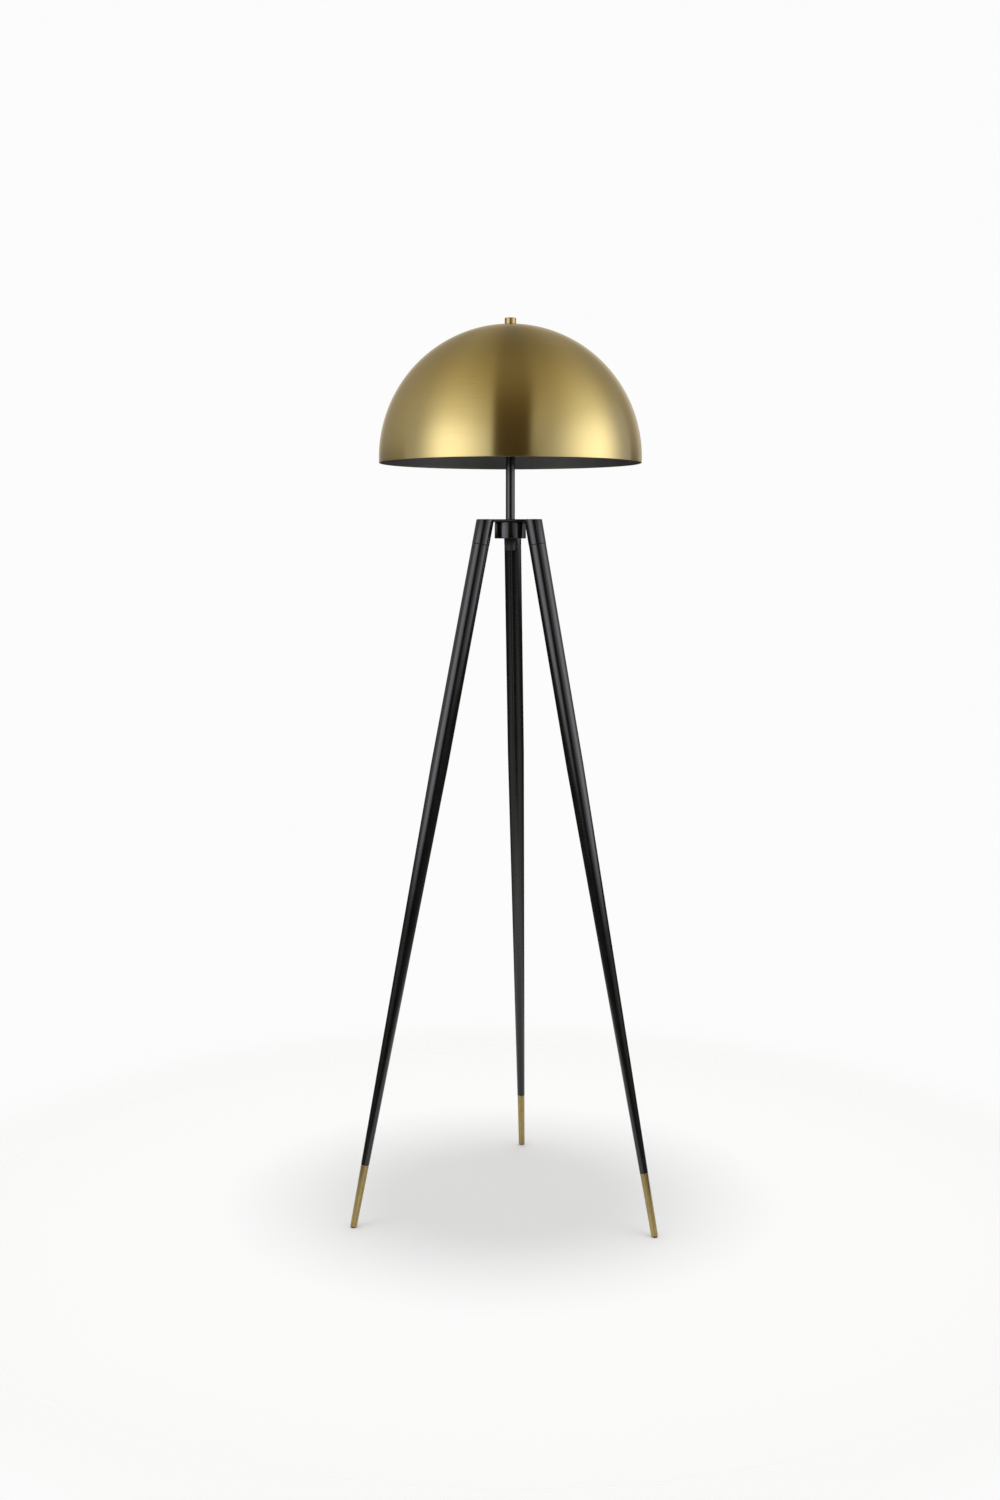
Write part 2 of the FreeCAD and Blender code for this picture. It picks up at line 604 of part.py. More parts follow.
def lampholder_cap():
    neck_top = HOLDER_Z + HOLDER_NECK_HEIGHT
    shoulder_top = neck_top + HOLDER_SHOULDER_HEIGHT
    cap_top = HOLDER_Z + HOLDER_CAP_HEIGHT
    inner_radius = HOLDER_CAP_RADIUS - HOLDER_CAP_WALL
    return turned_polygon([
        (NIPPLE_RADIUS, HOLDER_Z),
        (HOLDER_NECK_RADIUS, HOLDER_Z),
        (HOLDER_NECK_RADIUS, neck_top),
        (HOLDER_CAP_RADIUS, shoulder_top),
        (HOLDER_CAP_RADIUS, cap_top),
        (inner_radius, cap_top),
        (inner_radius, shoulder_top + HOLDER_CAP_WALL / 2.0),
        (HOLDER_NECK_RADIUS, neck_top + HOLDER_CAP_WALL),
        (NIPPLE_RADIUS, neck_top + HOLDER_CAP_WALL),
    ])


def side_opening():
    return forward_cylinder(SWITCH_SIDE_HOLE_RADIUS, 0.0, 2.0 * HOLDER_CAP_RADIUS, SWITCH_Z)


def lampholder_shell():
    outer = HOLDER_CAP_RADIUS - HOLDER_CAP_WALL
    low = INSULATOR_Z
    shell = tube(outer, outer - HOLDER_SHELL_WALL, low, HOLDER_TOP_Z)
    return shell.cut(side_opening())


def lampholder_liner():
    outer = HOLDER_CAP_RADIUS - HOLDER_CAP_WALL - HOLDER_SHELL_WALL
    liner = tube(outer, outer - LINER_WALL, INSULATOR_Z, HOLDER_TOP_Z - LINER_TOP_GAP)
    return liner.cut(side_opening())


def lampholder_insulator():
    block = cylinder(INSULATOR_RADIUS, INSULATOR_Z, INSULATOR_TOP_Z)
    shaft_bore = forward_cylinder(SWITCH_SHAFT_RADIUS + SWITCH_SHAFT_CLEARANCE,
                                  SWITCH_SHAFT_INNER - HOLE_RELIEF, 2.0 * INSULATOR_RADIUS, SWITCH_Z)
    block = block.cut(shaft_bore)
    for screw in terminal_screws():
        block = block.cut(screw)
    return block


def lampholder_screw_shell():
    outer = SCREW_SHELL_INNER_RADIUS + SCREW_SHELL_WALL
    return tube(outer, SCREW_SHELL_INNER_RADIUS, INSULATOR_TOP_Z, INSULATOR_TOP_Z + SCREW_SHELL_HEIGHT)


def terminal_screws():
    head_top = LEAD_UPPER_Z - LEAD_RADIUS
    head = cylinder(TERMINAL_HEAD_RADIUS, head_top - TERMINAL_HEAD_HEIGHT, head_top, TERMINAL_OFFSET)
    shank = cylinder(TERMINAL_SHANK_RADIUS, head_top, head_top + TERMINAL_SHANK_LENGTH, TERMINAL_OFFSET)
    screw = head.fuse(shank).removeSplitter()
    return [screw, mirrored(screw)]


def export_lampholder():
    contact = cylinder(CONTACT_RADIUS, INSULATOR_TOP_Z, BULB_Z)
    export("lampholder_cap", lampholder_cap())
    export("lampholder_shell", lampholder_shell())
    export("lampholder_liner", lampholder_liner())
    export("lampholder_insulator", lampholder_insulator())
    export("lampholder_screw_shell", lampholder_screw_shell())
    export("lampholder_contact", contact)
    export("terminal_screws", *terminal_screws())


# ---- Turn switch -----------------------------------------------------------------------------


def switch_knob():
    """A collar and a flat paddle, moulded in one and pressed on the shaft."""
    collar_end = KNOB_START + KNOB_COLLAR_LENGTH
    collar = forward_cylinder(KNOB_COLLAR_RADIUS, KNOB_START, collar_end, SWITCH_Z)
    half_width = KNOB_PADDLE_WIDTH / 2.0
    half_thickness = KNOB_PADDLE_THICKNESS / 2.0
    paddle_end = collar_end + KNOB_PADDLE_LENGTH
    paddle = box(-half_thickness, half_thickness, -paddle_end, -collar_end,
                 SWITCH_Z - half_width, SWITCH_Z + half_width)
    rims = [edge for edge in paddle.Edges if edge.BoundBox.XLength > half_thickness]
    paddle = paddle.makeFillet(KNOB_PADDLE_ROUND, rims)
    knob = collar.fuse(paddle).removeSplitter()
    return knob.cut(forward_cylinder(SWITCH_SHAFT_RADIUS, KNOB_START, SWITCH_SHAFT_OUTER, SWITCH_Z))


def export_switch():
    shaft = forward_cylinder(SWITCH_SHAFT_RADIUS, SWITCH_SHAFT_INNER, SWITCH_SHAFT_OUTER, SWITCH_Z)
    export("switch_shaft", shaft)
    export("switch_knob", switch_knob())


# ---- Bulb ------------------------------------------------------------------------------------


def bulb_bowl(inset):
    """The solid inside the glass outline moved inward by inset. A hollow arc joins the straight
    neck to the round bowl."""
    neck = BULB_NECK_RADIUS
    rise = BULB_LENGTH - BULB_RADIUS - BULB_NECK_TOP
    hollow = (neck ** 2 + rise ** 2 - BULB_RADIUS ** 2) / (2.0 * (BULB_RADIUS - neck))
    hollow_centre = at(neck + hollow, BULB_Z + BULB_NECK_TOP)
    bowl_centre = at(0, BULB_Z + BULB_LENGTH - BULB_RADIUS)
    slope = math.degrees(math.atan2(rise, neck + hollow))
    bottom = at(0, BULB_Z + BULB_GLASS_BOTTOM)
    neck_start = at(neck - inset, BULB_Z + BULB_GLASS_BOTTOM)
    neck_end = on_circle(hollow_centre, hollow + inset, 180.0)
    join = on_circle(hollow_centre, hollow + inset, 180.0 - slope)
    crown = on_circle(bowl_centre, BULB_RADIUS - inset, 90.0)
    return turned([
        line(bottom, neck_start),
        line(neck_start, neck_end),
        arc(neck_end, on_circle(hollow_centre, hollow + inset, 180.0 - slope / 2.0), join),
        arc(join, on_circle(bowl_centre, BULB_RADIUS - inset, (90.0 - slope) / 2.0), crown),
        line(crown, bottom),
    ])


def bulb_glass():
    return bulb_bowl(0.0).cut(bulb_bowl(BULB_WALL))


def bulb_cap():
    taper_top = BULB_Z + BULB_CAP_BOTTOM + BULB_CAP_TAPER
    cap_top = BULB_Z + BULB_CAP_TOP
    wall = BULB_CAP_RADIUS - BULB_NECK_RADIUS
    return turned_polygon([
        (BULB_CAP_BOTTOM_RADIUS, BULB_Z + BULB_CAP_BOTTOM),
        (BULB_CAP_RADIUS, taper_top),
        (BULB_CAP_RADIUS, cap_top),
        (BULB_NECK_RADIUS, cap_top),
        (BULB_NECK_RADIUS, taper_top),
        (BULB_CAP_BOTTOM_RADIUS - wall, BULB_Z + BULB_CAP_BOTTOM),
    ])


def bulb_mount():
    """The glass mount that closes the neck and carries the filaments."""
    floor = BULB_Z + BULB_GLASS_BOTTOM
    seal = cylinder(BULB_NECK_RADIUS - BULB_WALL, floor, floor + 2.0 * BULB_WALL)
    return seal.fuse(cylinder(BULB_MOUNT_RADIUS, floor, BULB_Z + BULB_MOUNT_TOP)).removeSplitter()


def bulb_filament():
    """Four upright filament sticks between two crosses of support wire on a centre post."""
    post_low = BULB_Z + BULB_MOUNT_TOP
    low = BULB_Z + FILAMENT_BOTTOM
    high = BULB_Z + FILAMENT_TOP
    post = cylinder(FILAMENT_SPOKE_RADIUS, post_low, high)
    pieces = []
    for azimuth in (0.0, 90.0, 180.0, 270.0):
        stick = cylinder(FILAMENT_RADIUS, low, high, FILAMENT_CIRCLE)
        pieces.append(around(stick, azimuth))
        for spoke_z in (post_low + FILAMENT_SPOKE_INSET, high - FILAMENT_SPOKE_INSET):
            spoke = Part.makeCylinder(FILAMENT_SPOKE_RADIUS, FILAMENT_CIRCLE,
                                      Vector(0, 0, spoke_z), Vector(1, 0, 0))
            pieces.append(around(spoke, azimuth))
    return post.fuse(pieces).removeSplitter()


def export_bulb():
    contact_top = BULB_Z + BULB_CONTACT_THICKNESS
    cap_bottom = BULB_Z + BULB_CAP_BOTTOM
    wall = BULB_CAP_RADIUS - BULB_NECK_RADIUS
    insulator = Part.makeCone(BULB_INSULATOR_RADIUS, BULB_CAP_BOTTOM_RADIUS - wall,
                              cap_bottom - contact_top, Vector(0, 0, contact_top))
    export("bulb_glass", bulb_glass())
    export("bulb_cap", bulb_cap())
    export("bulb_insulator", insulator)
    export("bulb_contact", cylinder(BULB_CONTACT_RADIUS, BULB_Z, contact_top))
    export("bulb_mount", bulb_mount())
    export("bulb_filament", bulb_filament())


# ---- Lead wires ------------------------------------------------------------------------------


def lead_wire():
    """One lead, from a terminal screw down the stem and out to a connector in the drum."""
    points = [
        Vector(TERMINAL_OFFSET - TERMINAL_SHANK_RADIUS, 0, LEAD_UPPER_Z),
        Vector(LEAD_OFFSET, 0, LEAD_UPPER_Z),
        Vector(LEAD_OFFSET, 0, LEAD_LOWER_Z),
        Vector(LEAD_LOWER_END, 0, LEAD_LOWER_Z),
    ]
    return bent_rod(points, [LEAD_BEND, LEAD_BEND], LEAD_RADIUS)


def wire_connector():
    along_x = Vector(1, 0, 0)
    start = Vector(CONNECTOR_START, 0, LEAD_LOWER_Z)
    body = Part.makeCone(CONNECTOR_MOUTH_RADIUS, CONNECTOR_TIP_RADIUS, CONNECTOR_LENGTH, start, along_x)
    return body.cut(Part.makeCylinder(CONNECTOR_BORE_RADIUS, CONNECTOR_BORE_DEPTH, start, along_x))


def export_wiring():
    export("lead_wires", lead_wire(), mirrored(lead_wire()))
    export("wire_connectors", wire_connector(), mirrored(wire_connector()))


# ---- Shade and finial --------------------------------------------------------------------------


def dome_blank(radius, crown_z):
    """A solid hemisphere on its skirt, cut flat at the crown."""
    centre = at(0, DOME_CENTRE_Z)
    land_angle = math.degrees(math.asin((crown_z - DOME_CENTRE_Z) / radius))
    rim = at(radius, SHADE_RIM_Z)
    skirt_top = on_circle(centre, radius, 0.0)
    land_edge = on_circle(centre, radius, land_angle)
    return turned([
        line(at(0, SHADE_RIM_Z), rim),
        line(rim, skirt_top),
        arc(skirt_top, on_circle(centre, radius, land_angle / 2.0), land_edge),
        line(land_edge, at(0, crown_z)),
        line(at(0, crown_z), at(0, SHADE_RIM_Z)),
    ])


def shade_dome():
    outside = dome_blank(SHADE_RADIUS, CROWN_TOP_Z)
    inside = dome_blank(SHADE_RADIUS - SHADE_WALL, CROWN_UNDER_Z)
    return outside.cut(inside).cut(cylinder(CROWN_HOLE_RADIUS, CROWN_UNDER_Z, CROWN_TOP_Z))


def finial():
    bore_radius = HARP_STUD_THREAD_RADIUS + FINIAL_THREAD_CLEARANCE
    bore_top = SHADE_SEAT_Z + HARP_STUD_THREAD_LENGTH + HOLE_RELIEF
    return turned_polygon([
        (bore_radius, FINIAL_BOTTOM_Z),
        (FINIAL_RADIUS - FINIAL_EDGE, FINIAL_BOTTOM_Z),
        (FINIAL_RADIUS, FINIAL_BOTTOM_Z + FINIAL_EDGE),
        (FINIAL_RADIUS, FINIAL_TOP_Z - FINIAL_EDGE),
        (FINIAL_RADIUS - FINIAL_EDGE, FINIAL_TOP_Z),
        (0.0, FINIAL_TOP_Z),
        (0.0, bore_top),
        (bore_radius, bore_top),
    ])


def export_shade():
    hole = HARP_STUD_THREAD_RADIUS + FINIAL_THREAD_CLEARANCE
    export("shade_dome", shade_dome())
    export("shade_seat_ring",
           tube(CROWN_WASHER_RADIUS, CROWN_HOLE_RADIUS, SHADE_SEAT_Z, CROWN_UNDER_Z))
    export("finial_washer", tube(FINIAL_WASHER_RADIUS, hole, CROWN_TOP_Z, FINIAL_BOTTOM_Z))
    export("finial", finial())


def main():
    os.makedirs("parts", exist_ok=True)
    export_legs()
    export_hub()
    export_stem()
    export_harp()
    export_lampholder()
    export_switch()
    export_bulb()
    export_wiring()
    export_shade()


main()
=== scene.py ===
import json
import math

import bmesh
import bpy
from mathutils import Matrix, Vector


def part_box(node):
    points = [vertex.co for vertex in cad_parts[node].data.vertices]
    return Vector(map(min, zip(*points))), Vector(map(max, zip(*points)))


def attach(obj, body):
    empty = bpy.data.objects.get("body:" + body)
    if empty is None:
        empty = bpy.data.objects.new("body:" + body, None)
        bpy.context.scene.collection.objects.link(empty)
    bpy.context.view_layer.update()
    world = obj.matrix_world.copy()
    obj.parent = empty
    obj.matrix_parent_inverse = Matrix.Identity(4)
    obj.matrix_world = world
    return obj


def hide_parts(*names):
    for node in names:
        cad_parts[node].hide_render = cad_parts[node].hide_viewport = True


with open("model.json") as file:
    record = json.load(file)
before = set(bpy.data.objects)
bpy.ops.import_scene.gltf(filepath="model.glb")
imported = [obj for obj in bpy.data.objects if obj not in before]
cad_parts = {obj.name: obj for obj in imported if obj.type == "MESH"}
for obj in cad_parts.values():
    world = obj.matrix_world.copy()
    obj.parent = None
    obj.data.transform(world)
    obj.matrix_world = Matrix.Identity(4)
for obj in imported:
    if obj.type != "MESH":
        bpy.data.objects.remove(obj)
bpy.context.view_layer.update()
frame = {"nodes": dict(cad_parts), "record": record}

scene = bpy.context.scene
scene.view_settings.view_transform = "Standard"

# Metres, +Z up, with the floor at z = 0. These repeat the CAD part's own dimensions.
MM = 0.001

SHADE_RADIUS = 228.5 * MM
SHADE_WALL = 1.0 * MM
SHADE_RIM_Z = 1331.0 * MM
DOME_CENTRE_Z = 1339.5 * MM
CROWN_RADIUS = 14.0 * MM
CROWN_HOLE_RADIUS = 4.0 * MM

HUB_TOP_Z = 1234.0 * MM
LEG_TOP_CIRCLE = 48.06 * MM
LEG_FOOT_CIRCLE = 304.3 * MM
LEG_TILT = math.atan((LEG_FOOT_CIRCLE - LEG_TOP_CIRCLE) / HUB_TOP_Z)
LEG_AZIMUTHS = {"rear": 90.0, "left": 210.0, "right": 330.0}
SOCKET_RADIUS = 15.2 * MM
SOCKET_LENGTH = 45.0 * MM
LEG_RADIUS = 15.0 * MM
LEG_END_RADIUS = 7.15 * MM
TAPER_START = 434.0 * MM
TIP_START = 1148.0 * MM
TIP_TOP_RADIUS = 7.0 * MM
TIP_END_RADIUS = 5.85 * MM
TIP_FLOOR_GAP = 0.4 * MM
TIP_END = (HUB_TOP_Z - TIP_FLOOR_GAP - TIP_END_RADIUS * math.sin(LEG_TILT)) / math.cos(LEG_TILT)

# ---- Meshes ---------------------------------------------------------------------------


def rounded(points, steps=5):
    """A closed outline of (radius, height, fillet) corners, with its corners rounded off."""
    outline = []
    count = len(points)
    for index, (radius, height, fillet) in enumerate(points):
        corner = Vector((radius, height))
        if fillet <= 0.0:
            outline.append(corner)
            continue
        before = Vector(points[index - 1][:2]) - corner
        after = Vector(points[(index + 1) % count][:2]) - corner
        half = before.angle(after) / 2.0
        setback = fillet / math.tan(half)
        middle = (before.normalized() + after.normalized()).normalized()
        centre = corner + middle * (fillet / math.sin(half))
        first = corner + before.normalized() * setback
        last = corner + after.normalized() * setback
        support = min(0.4 * fillet, 0.2 * MM)
        outline.append(first + before.normalized() * support)
        start = first - centre
        turn = start.angle_signed(last - centre)
        for step in range(steps + 1):
            bearing = Matrix.Rotation(-turn * step / steps, 2)
            outline.append(centre + bearing @ start)
        outline.append(last + after.normalized() * support)
    return [(p.x, p.y) for p in outline]


def lathe(outline, segments=128):
    """A turned mesh about the local Z axis, from a closed outline of (radius, height)."""
    bm = bmesh.new()
    rings = []
    for radius, height in outline:
        if radius < 1e-7:
            rings.append([bm.verts.new((0.0, 0.0, height))])
            continue
        ring = []
        for step in range(segments):
            angle = 2.0 * math.pi * step / segments
            ring.append(bm.verts.new((radius * math.cos(angle), radius * math.sin(angle), height)))
        rings.append(ring)
    for low, high in zip(rings, rings[1:] + rings[:1]):
        if len(low) == 1 and len(high) == 1:
            continue
        for step in range(segments):
            onward = (step + 1) % segments
            if len(low) == 1:
                bm.faces.new((low[0], high[onward], high[step]))
            elif len(high) == 1:
                bm.faces.new((low[step], low[onward], high[0]))
            else:
                bm.faces.new((low[step], low[onward], high[onward], high[step]))
    bmesh.ops.recalc_face_normals(bm, faces=bm.faces)
    return bm


def placed(bm, name, materials, body, nodes, transform=None):
    """Turns a bmesh into a piece that rides on a body and stands for CAD nodes."""
    mesh = bpy.data.meshes.new(name)
    for face in bm.faces:
        face.smooth = True
    bm.to_mesh(mesh)
    bm.free()
    for material in materials:
        mesh.materials.append(material)
    obj = bpy.data.objects.new(name, mesh)
    scene.collection.objects.link(obj)
    if transform is not None:
        obj.matrix_world = transform
    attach(obj, body)
    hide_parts(*nodes)
    return obj


def leg_place(azimuth):
    """From a leg's own frame, with -Z down its axis from the hub's top plane, to the row frame."""
    return (Matrix.Rotation(math.radians(azimuth), 4, "Z")
            @ Matrix.Translation((LEG_TOP_CIRCLE, 0.0, HUB_TOP_Z))
            @ Matrix.Rotation(-LEG_TILT, 4, "Y"))


def softened(node, name, width):
    """A copy of a CAD node's mesh on the stand with its flats merged and its edges bevelled."""
    slot = SLOTS[node]
    sharp_angle = math.radians(32.0)
    bm = bmesh.new()
    bm.from_mesh(frame["nodes"][node].data)
    bmesh.ops.remove_doubles(bm, verts=bm.verts, dist=0.002 * MM)
    bmesh.ops.dissolve_limit(bm, angle_limit=math.radians(0.6), verts=bm.verts, edges=bm.edges)
    sharp = [e for e in bm.edges if e.is_manifold and e.calc_face_angle(0.0) > sharp_angle]
    bmesh.ops.bevel(bm, geom=sharp, offset=width, offset_type="OFFSET", segments=2,
                    profile=0.5, affect="EDGES", clamp_overlap=True)
    obj = placed(bm, name, [MATERIALS[slot]], "stand", [node])
    obj.data.set_sharp_from_angle(angle=sharp_angle)


# ---- Material graphs ------------------------------------------------------------------------


class Graph:
    """A short way to write a node tree."""

    def __init__(self, tree):
        self.tree = tree
        tree.nodes.clear()

    def node(self, kind, inputs=None, **settings):
        made = self.tree.nodes.new(kind)
        for key, value in settings.items():
            setattr(made, key, value)
        for key, value in (inputs or {}).items():
            self.feed(made.inputs[key], value)
        return made

    def feed(self, socket, value):
        if isinstance(value, bpy.types.NodeSocket):
            self.tree.links.new(value, socket)
        else:
            socket.default_value = value

    def math(self, operation, a, b=0.0, c=None, clamp=False):
        made = self.node("ShaderNodeMath", operation=operation, use_clamp=clamp)
        self.feed(made.inputs[0], a)
        self.feed(made.inputs[1], b)
        if c is not None:
            self.feed(made.inputs[2], c)
        return made.outputs[0]

    def step(self, value, low, high, start=0.0, end=1.0):
        """start below low, end above high, and a smooth change between."""
        made = self.node("ShaderNodeMapRange", {"Value": value, "From Min": low, "From Max": high,
                                                "To Min": start, "To Max": end},
                         interpolation_type="SMOOTHSTEP", clamp=True)
        return made.outputs["Result"]

    def range(self, value, low, high, start, end):
        made = self.node("ShaderNodeMapRange", {"Value": value, "From Min": low, "From Max": high,
                                                "To Min": start, "To Max": end}, clamp=True)
        return made.outputs["Result"]

    def vector(self, x, y, z):
        return self.node("ShaderNodeCombineXYZ", {"X": x, "Y": y, "Z": z}).outputs[0]

    def noise(self, vector, scale, detail=2.0, roughness=0.5):
        made = self.node("ShaderNodeTexNoise", {"Vector": vector, "Scale": scale, "Detail": detail,
                                                "Roughness": roughness})
        return made.outputs["Fac"]

    def blend(self, factor, a, b):
        made = self.node("ShaderNodeMix", data_type="RGBA", blend_type="MIX")
        self.feed(made.inputs[0], factor)
        self.feed(made.inputs[6], a)
        self.feed(made.inputs[7], b)
        return made.outputs[2]

    def bump(self, height, strength, distance):
        made = self.node("ShaderNodeBump", {"Height": height, "Strength": strength,
                                            "Distance": distance})
        return made.outputs["Normal"]

    def hump(self, value, width):
        """1 where value is 0, falling off smoothly either side over about width."""
        offset = self.math("DIVIDE", value, width)
        return self.math("EXPONENT", self.math("MULTIPLY", self.math("MULTIPLY", offset, offset),
                                               -1.0))

    def object_point(self):
        return self.node("ShaderNodeTexCoord").outputs["Object"]

    def split(self, vector):
        return self.node("ShaderNodeSeparateXYZ", {0: vector}).outputs


def shade(rgb):
    """An opaque colour socket's value."""
    return (rgb[0], rgb[1], rgb[2], 1.0)


def surface(name, build, constants):
    """A material whose Principled shader gets its constants here and its links from build."""
    material = bpy.data.materials.new(name)
    material.use_nodes = True
    graph = Graph(material.node_tree)
    shader = graph.node("ShaderNodeBsdfPrincipled")
    for key, value in constants.items():
        shader.inputs[key].default_value = value
    output = graph.node("ShaderNodeOutputMaterial")
    graph.feed(output.inputs["Surface"], shader.outputs[0])
    for key, value in build(graph).items():
        graph.feed(shader.inputs[key], value)
    return material


def spun_brass(graph):
    """Lines that run round the Z axis, set by their height up the dome's curve."""
    point = graph.object_point()
    x, y, z = graph.split(point)
    reach = graph.math("SQRT", graph.math("ADD", graph.math("MULTIPLY", x, x),
                                          graph.math("MULTIPLY_ADD", y, y, 1e-9)))
    along = graph.math("MULTIPLY", graph.math("ARCTAN2", z, reach), SHADE_RADIUS)
    across_x = graph.math("DIVIDE", x, reach)
    across_y = graph.math("DIVIDE", y, reach)

    def lines(per_metre, swing, detail):
        lookup = graph.vector(graph.math("MULTIPLY", across_x, swing),
                              graph.math("MULTIPLY", across_y, swing),
                              graph.math("MULTIPLY", along, per_metre))
        return graph.noise(lookup, 1.0, detail)

    fine = lines(2600.0, 2.4, 3.0)
    medium = lines(620.0, 1.2, 2.0)
    broad = lines(55.0, 0.5, 1.0)
    patches = graph.noise(point, 9.0, 3.0)
    tone = graph.math("MULTIPLY_ADD", fine, 0.35, graph.math("MULTIPLY", medium, 0.3))
    tone = graph.math("MULTIPLY_ADD", broad, 0.2, tone)
    tone = graph.math("MULTIPLY_ADD", patches, 0.35, tone)
    colour = graph.blend(graph.range(tone, 0.3, 0.9, 0.0, 1.0),
                         shade((0.555, 0.43, 0.150)), shade((0.605, 0.475, 0.175)))
    wear = graph.math("MULTIPLY_ADD", medium, 0.6, graph.math("MULTIPLY", patches, 0.4))
    roughness = graph.range(wear, 0.3, 0.7, 0.27, 0.31)
    height = graph.math("MULTIPLY_ADD", medium, 0.6, graph.math("MULTIPLY", fine, 0.4))
    tangent = graph.node("ShaderNodeTangent", direction_type="RADIAL", axis="Z").outputs[0]
    return {"Base Color": colour, "Roughness": roughness, "Tangent": tangent,
            "Normal": graph.bump(height, 0.03, 0.0002)}


def along_brass(azimuth):
    """Brushing along the leg at an azimuth."""
    back = leg_place(azimuth).inverted()

    def build(graph):
        mapped = graph.node("ShaderNodeMapping", {"Vector": graph.object_point(),
                                                  "Location": back.translation,
                                                  "Rotation": back.to_euler()})
        return lengthwise(graph, mapped.outputs[0])
    return build


def lengthwise(graph, point):
    """Streaks along the Z axis of a leg's own frame."""
    x, y, z = graph.split(point)

    def streaks(scale, stretch):
        lookup = graph.vector(graph.math("MULTIPLY", x, scale), graph.math("MULTIPLY", y, scale),
                              graph.math("MULTIPLY", z, stretch))
        return graph.noise(lookup, 1.0, 3.0)

    fine = streaks(1500.0, 40.0)
    medium = streaks(430.0, 9.0)
    patches = graph.noise(point, 120.0, 2.0)
    tone = graph.math("MULTIPLY_ADD", medium, 0.6, graph.math("MULTIPLY", fine, 0.3))
    tone = graph.math("MULTIPLY_ADD", patches, 0.2, tone)
    colour = graph.blend(graph.range(tone, 0.35, 0.75, 0.0, 1.0),
                         shade((0.235, 0.172, 0.066)), shade((0.50, 0.388, 0.165)))
    roughness = graph.range(medium, 0.3, 0.7, 0.22, 0.34)
    return {"Base Color": colour, "Roughness": roughness,
            "Normal": graph.bump(medium, 0.14, 0.0001)}


def turned_metal(dark, light, rough_low, rough_high):
    """Fine lathe lines across the Z axis."""
    def build(graph):
        point = graph.object_point()
        x, y, z = graph.split(point)
        lookup = graph.vector(graph.math("MULTIPLY", x, 60.0), graph.math("MULTIPLY", y, 60.0),
                              graph.math("MULTIPLY", z, 2200.0))
        fine = graph.noise(lookup, 1.0, 3.0)
        spots = graph.noise(point, 260.0, 3.0)
        tone = graph.math("MULTIPLY_ADD", spots, 0.45, graph.math("MULTIPLY", fine, 0.55))
        colour = graph.blend(graph.range(tone, 0.35, 0.65, 0.0, 1.0), shade(dark), shade(light))
        return {"Base Color": colour,
                "Roughness": graph.range(tone, 0.3, 0.7, rough_low, rough_high),
                "Normal": graph.bump(fine, 0.06, 0.0001)}
    return build


def coated(dark, light, rough_low, rough_high, peel, strength):
    """Powder coat or paint: a fine orange peel, dust and soft patches."""
    def build(graph):
        point = graph.object_point()
        peel_height = graph.noise(point, peel, 2.0)
        grain = graph.noise(point, peel * 4.0, 2.0)
        patches = graph.noise(point, 28.0, 3.0)
        tone = graph.math("MULTIPLY_ADD", patches, 0.6, graph.math("MULTIPLY", grain, 0.4))
        colour = graph.blend(graph.range(tone, 0.35, 0.65, 0.0, 1.0), shade(dark), shade(light))
        rough = graph.math("MULTIPLY_ADD", patches, 0.5, graph.math("MULTIPLY", peel_height, 0.5))
        height = graph.math("MULTIPLY_ADD", peel_height, 0.7, graph.math("MULTIPLY", grain, 0.3))
        return {"Base Color": colour,
                "Roughness": graph.range(rough, 0.35, 0.65, rough_low, rough_high),
                "Normal": graph.bump(height, strength, 0.0002)}
    return build


def moulded(dark, light, rough_low, rough_high, grain_scale=1400.0, strength=0.12):
    """Moulded plastic, rubber or board: a fine grain over slow colour changes."""
    def build(graph):
        point = graph.object_point()
        grain = graph.noise(point, grain_scale, 3.0)
        cloud = graph.noise(point, 90.0, 3.0)
        tone = graph.math("MULTIPLY_ADD", cloud, 0.6, graph.math("MULTIPLY", grain, 0.4))
        colour = graph.blend(graph.range(tone, 0.35, 0.65, 0.0, 1.0), shade(dark), shade(light))
        return {"Base Color": colour,
                "Roughness": graph.range(tone, 0.3, 0.7, rough_low, rough_high),
                "Normal": graph.bump(grain, strength, 0.0001)}
    return build


METAL = {"Metallic": 1.0}
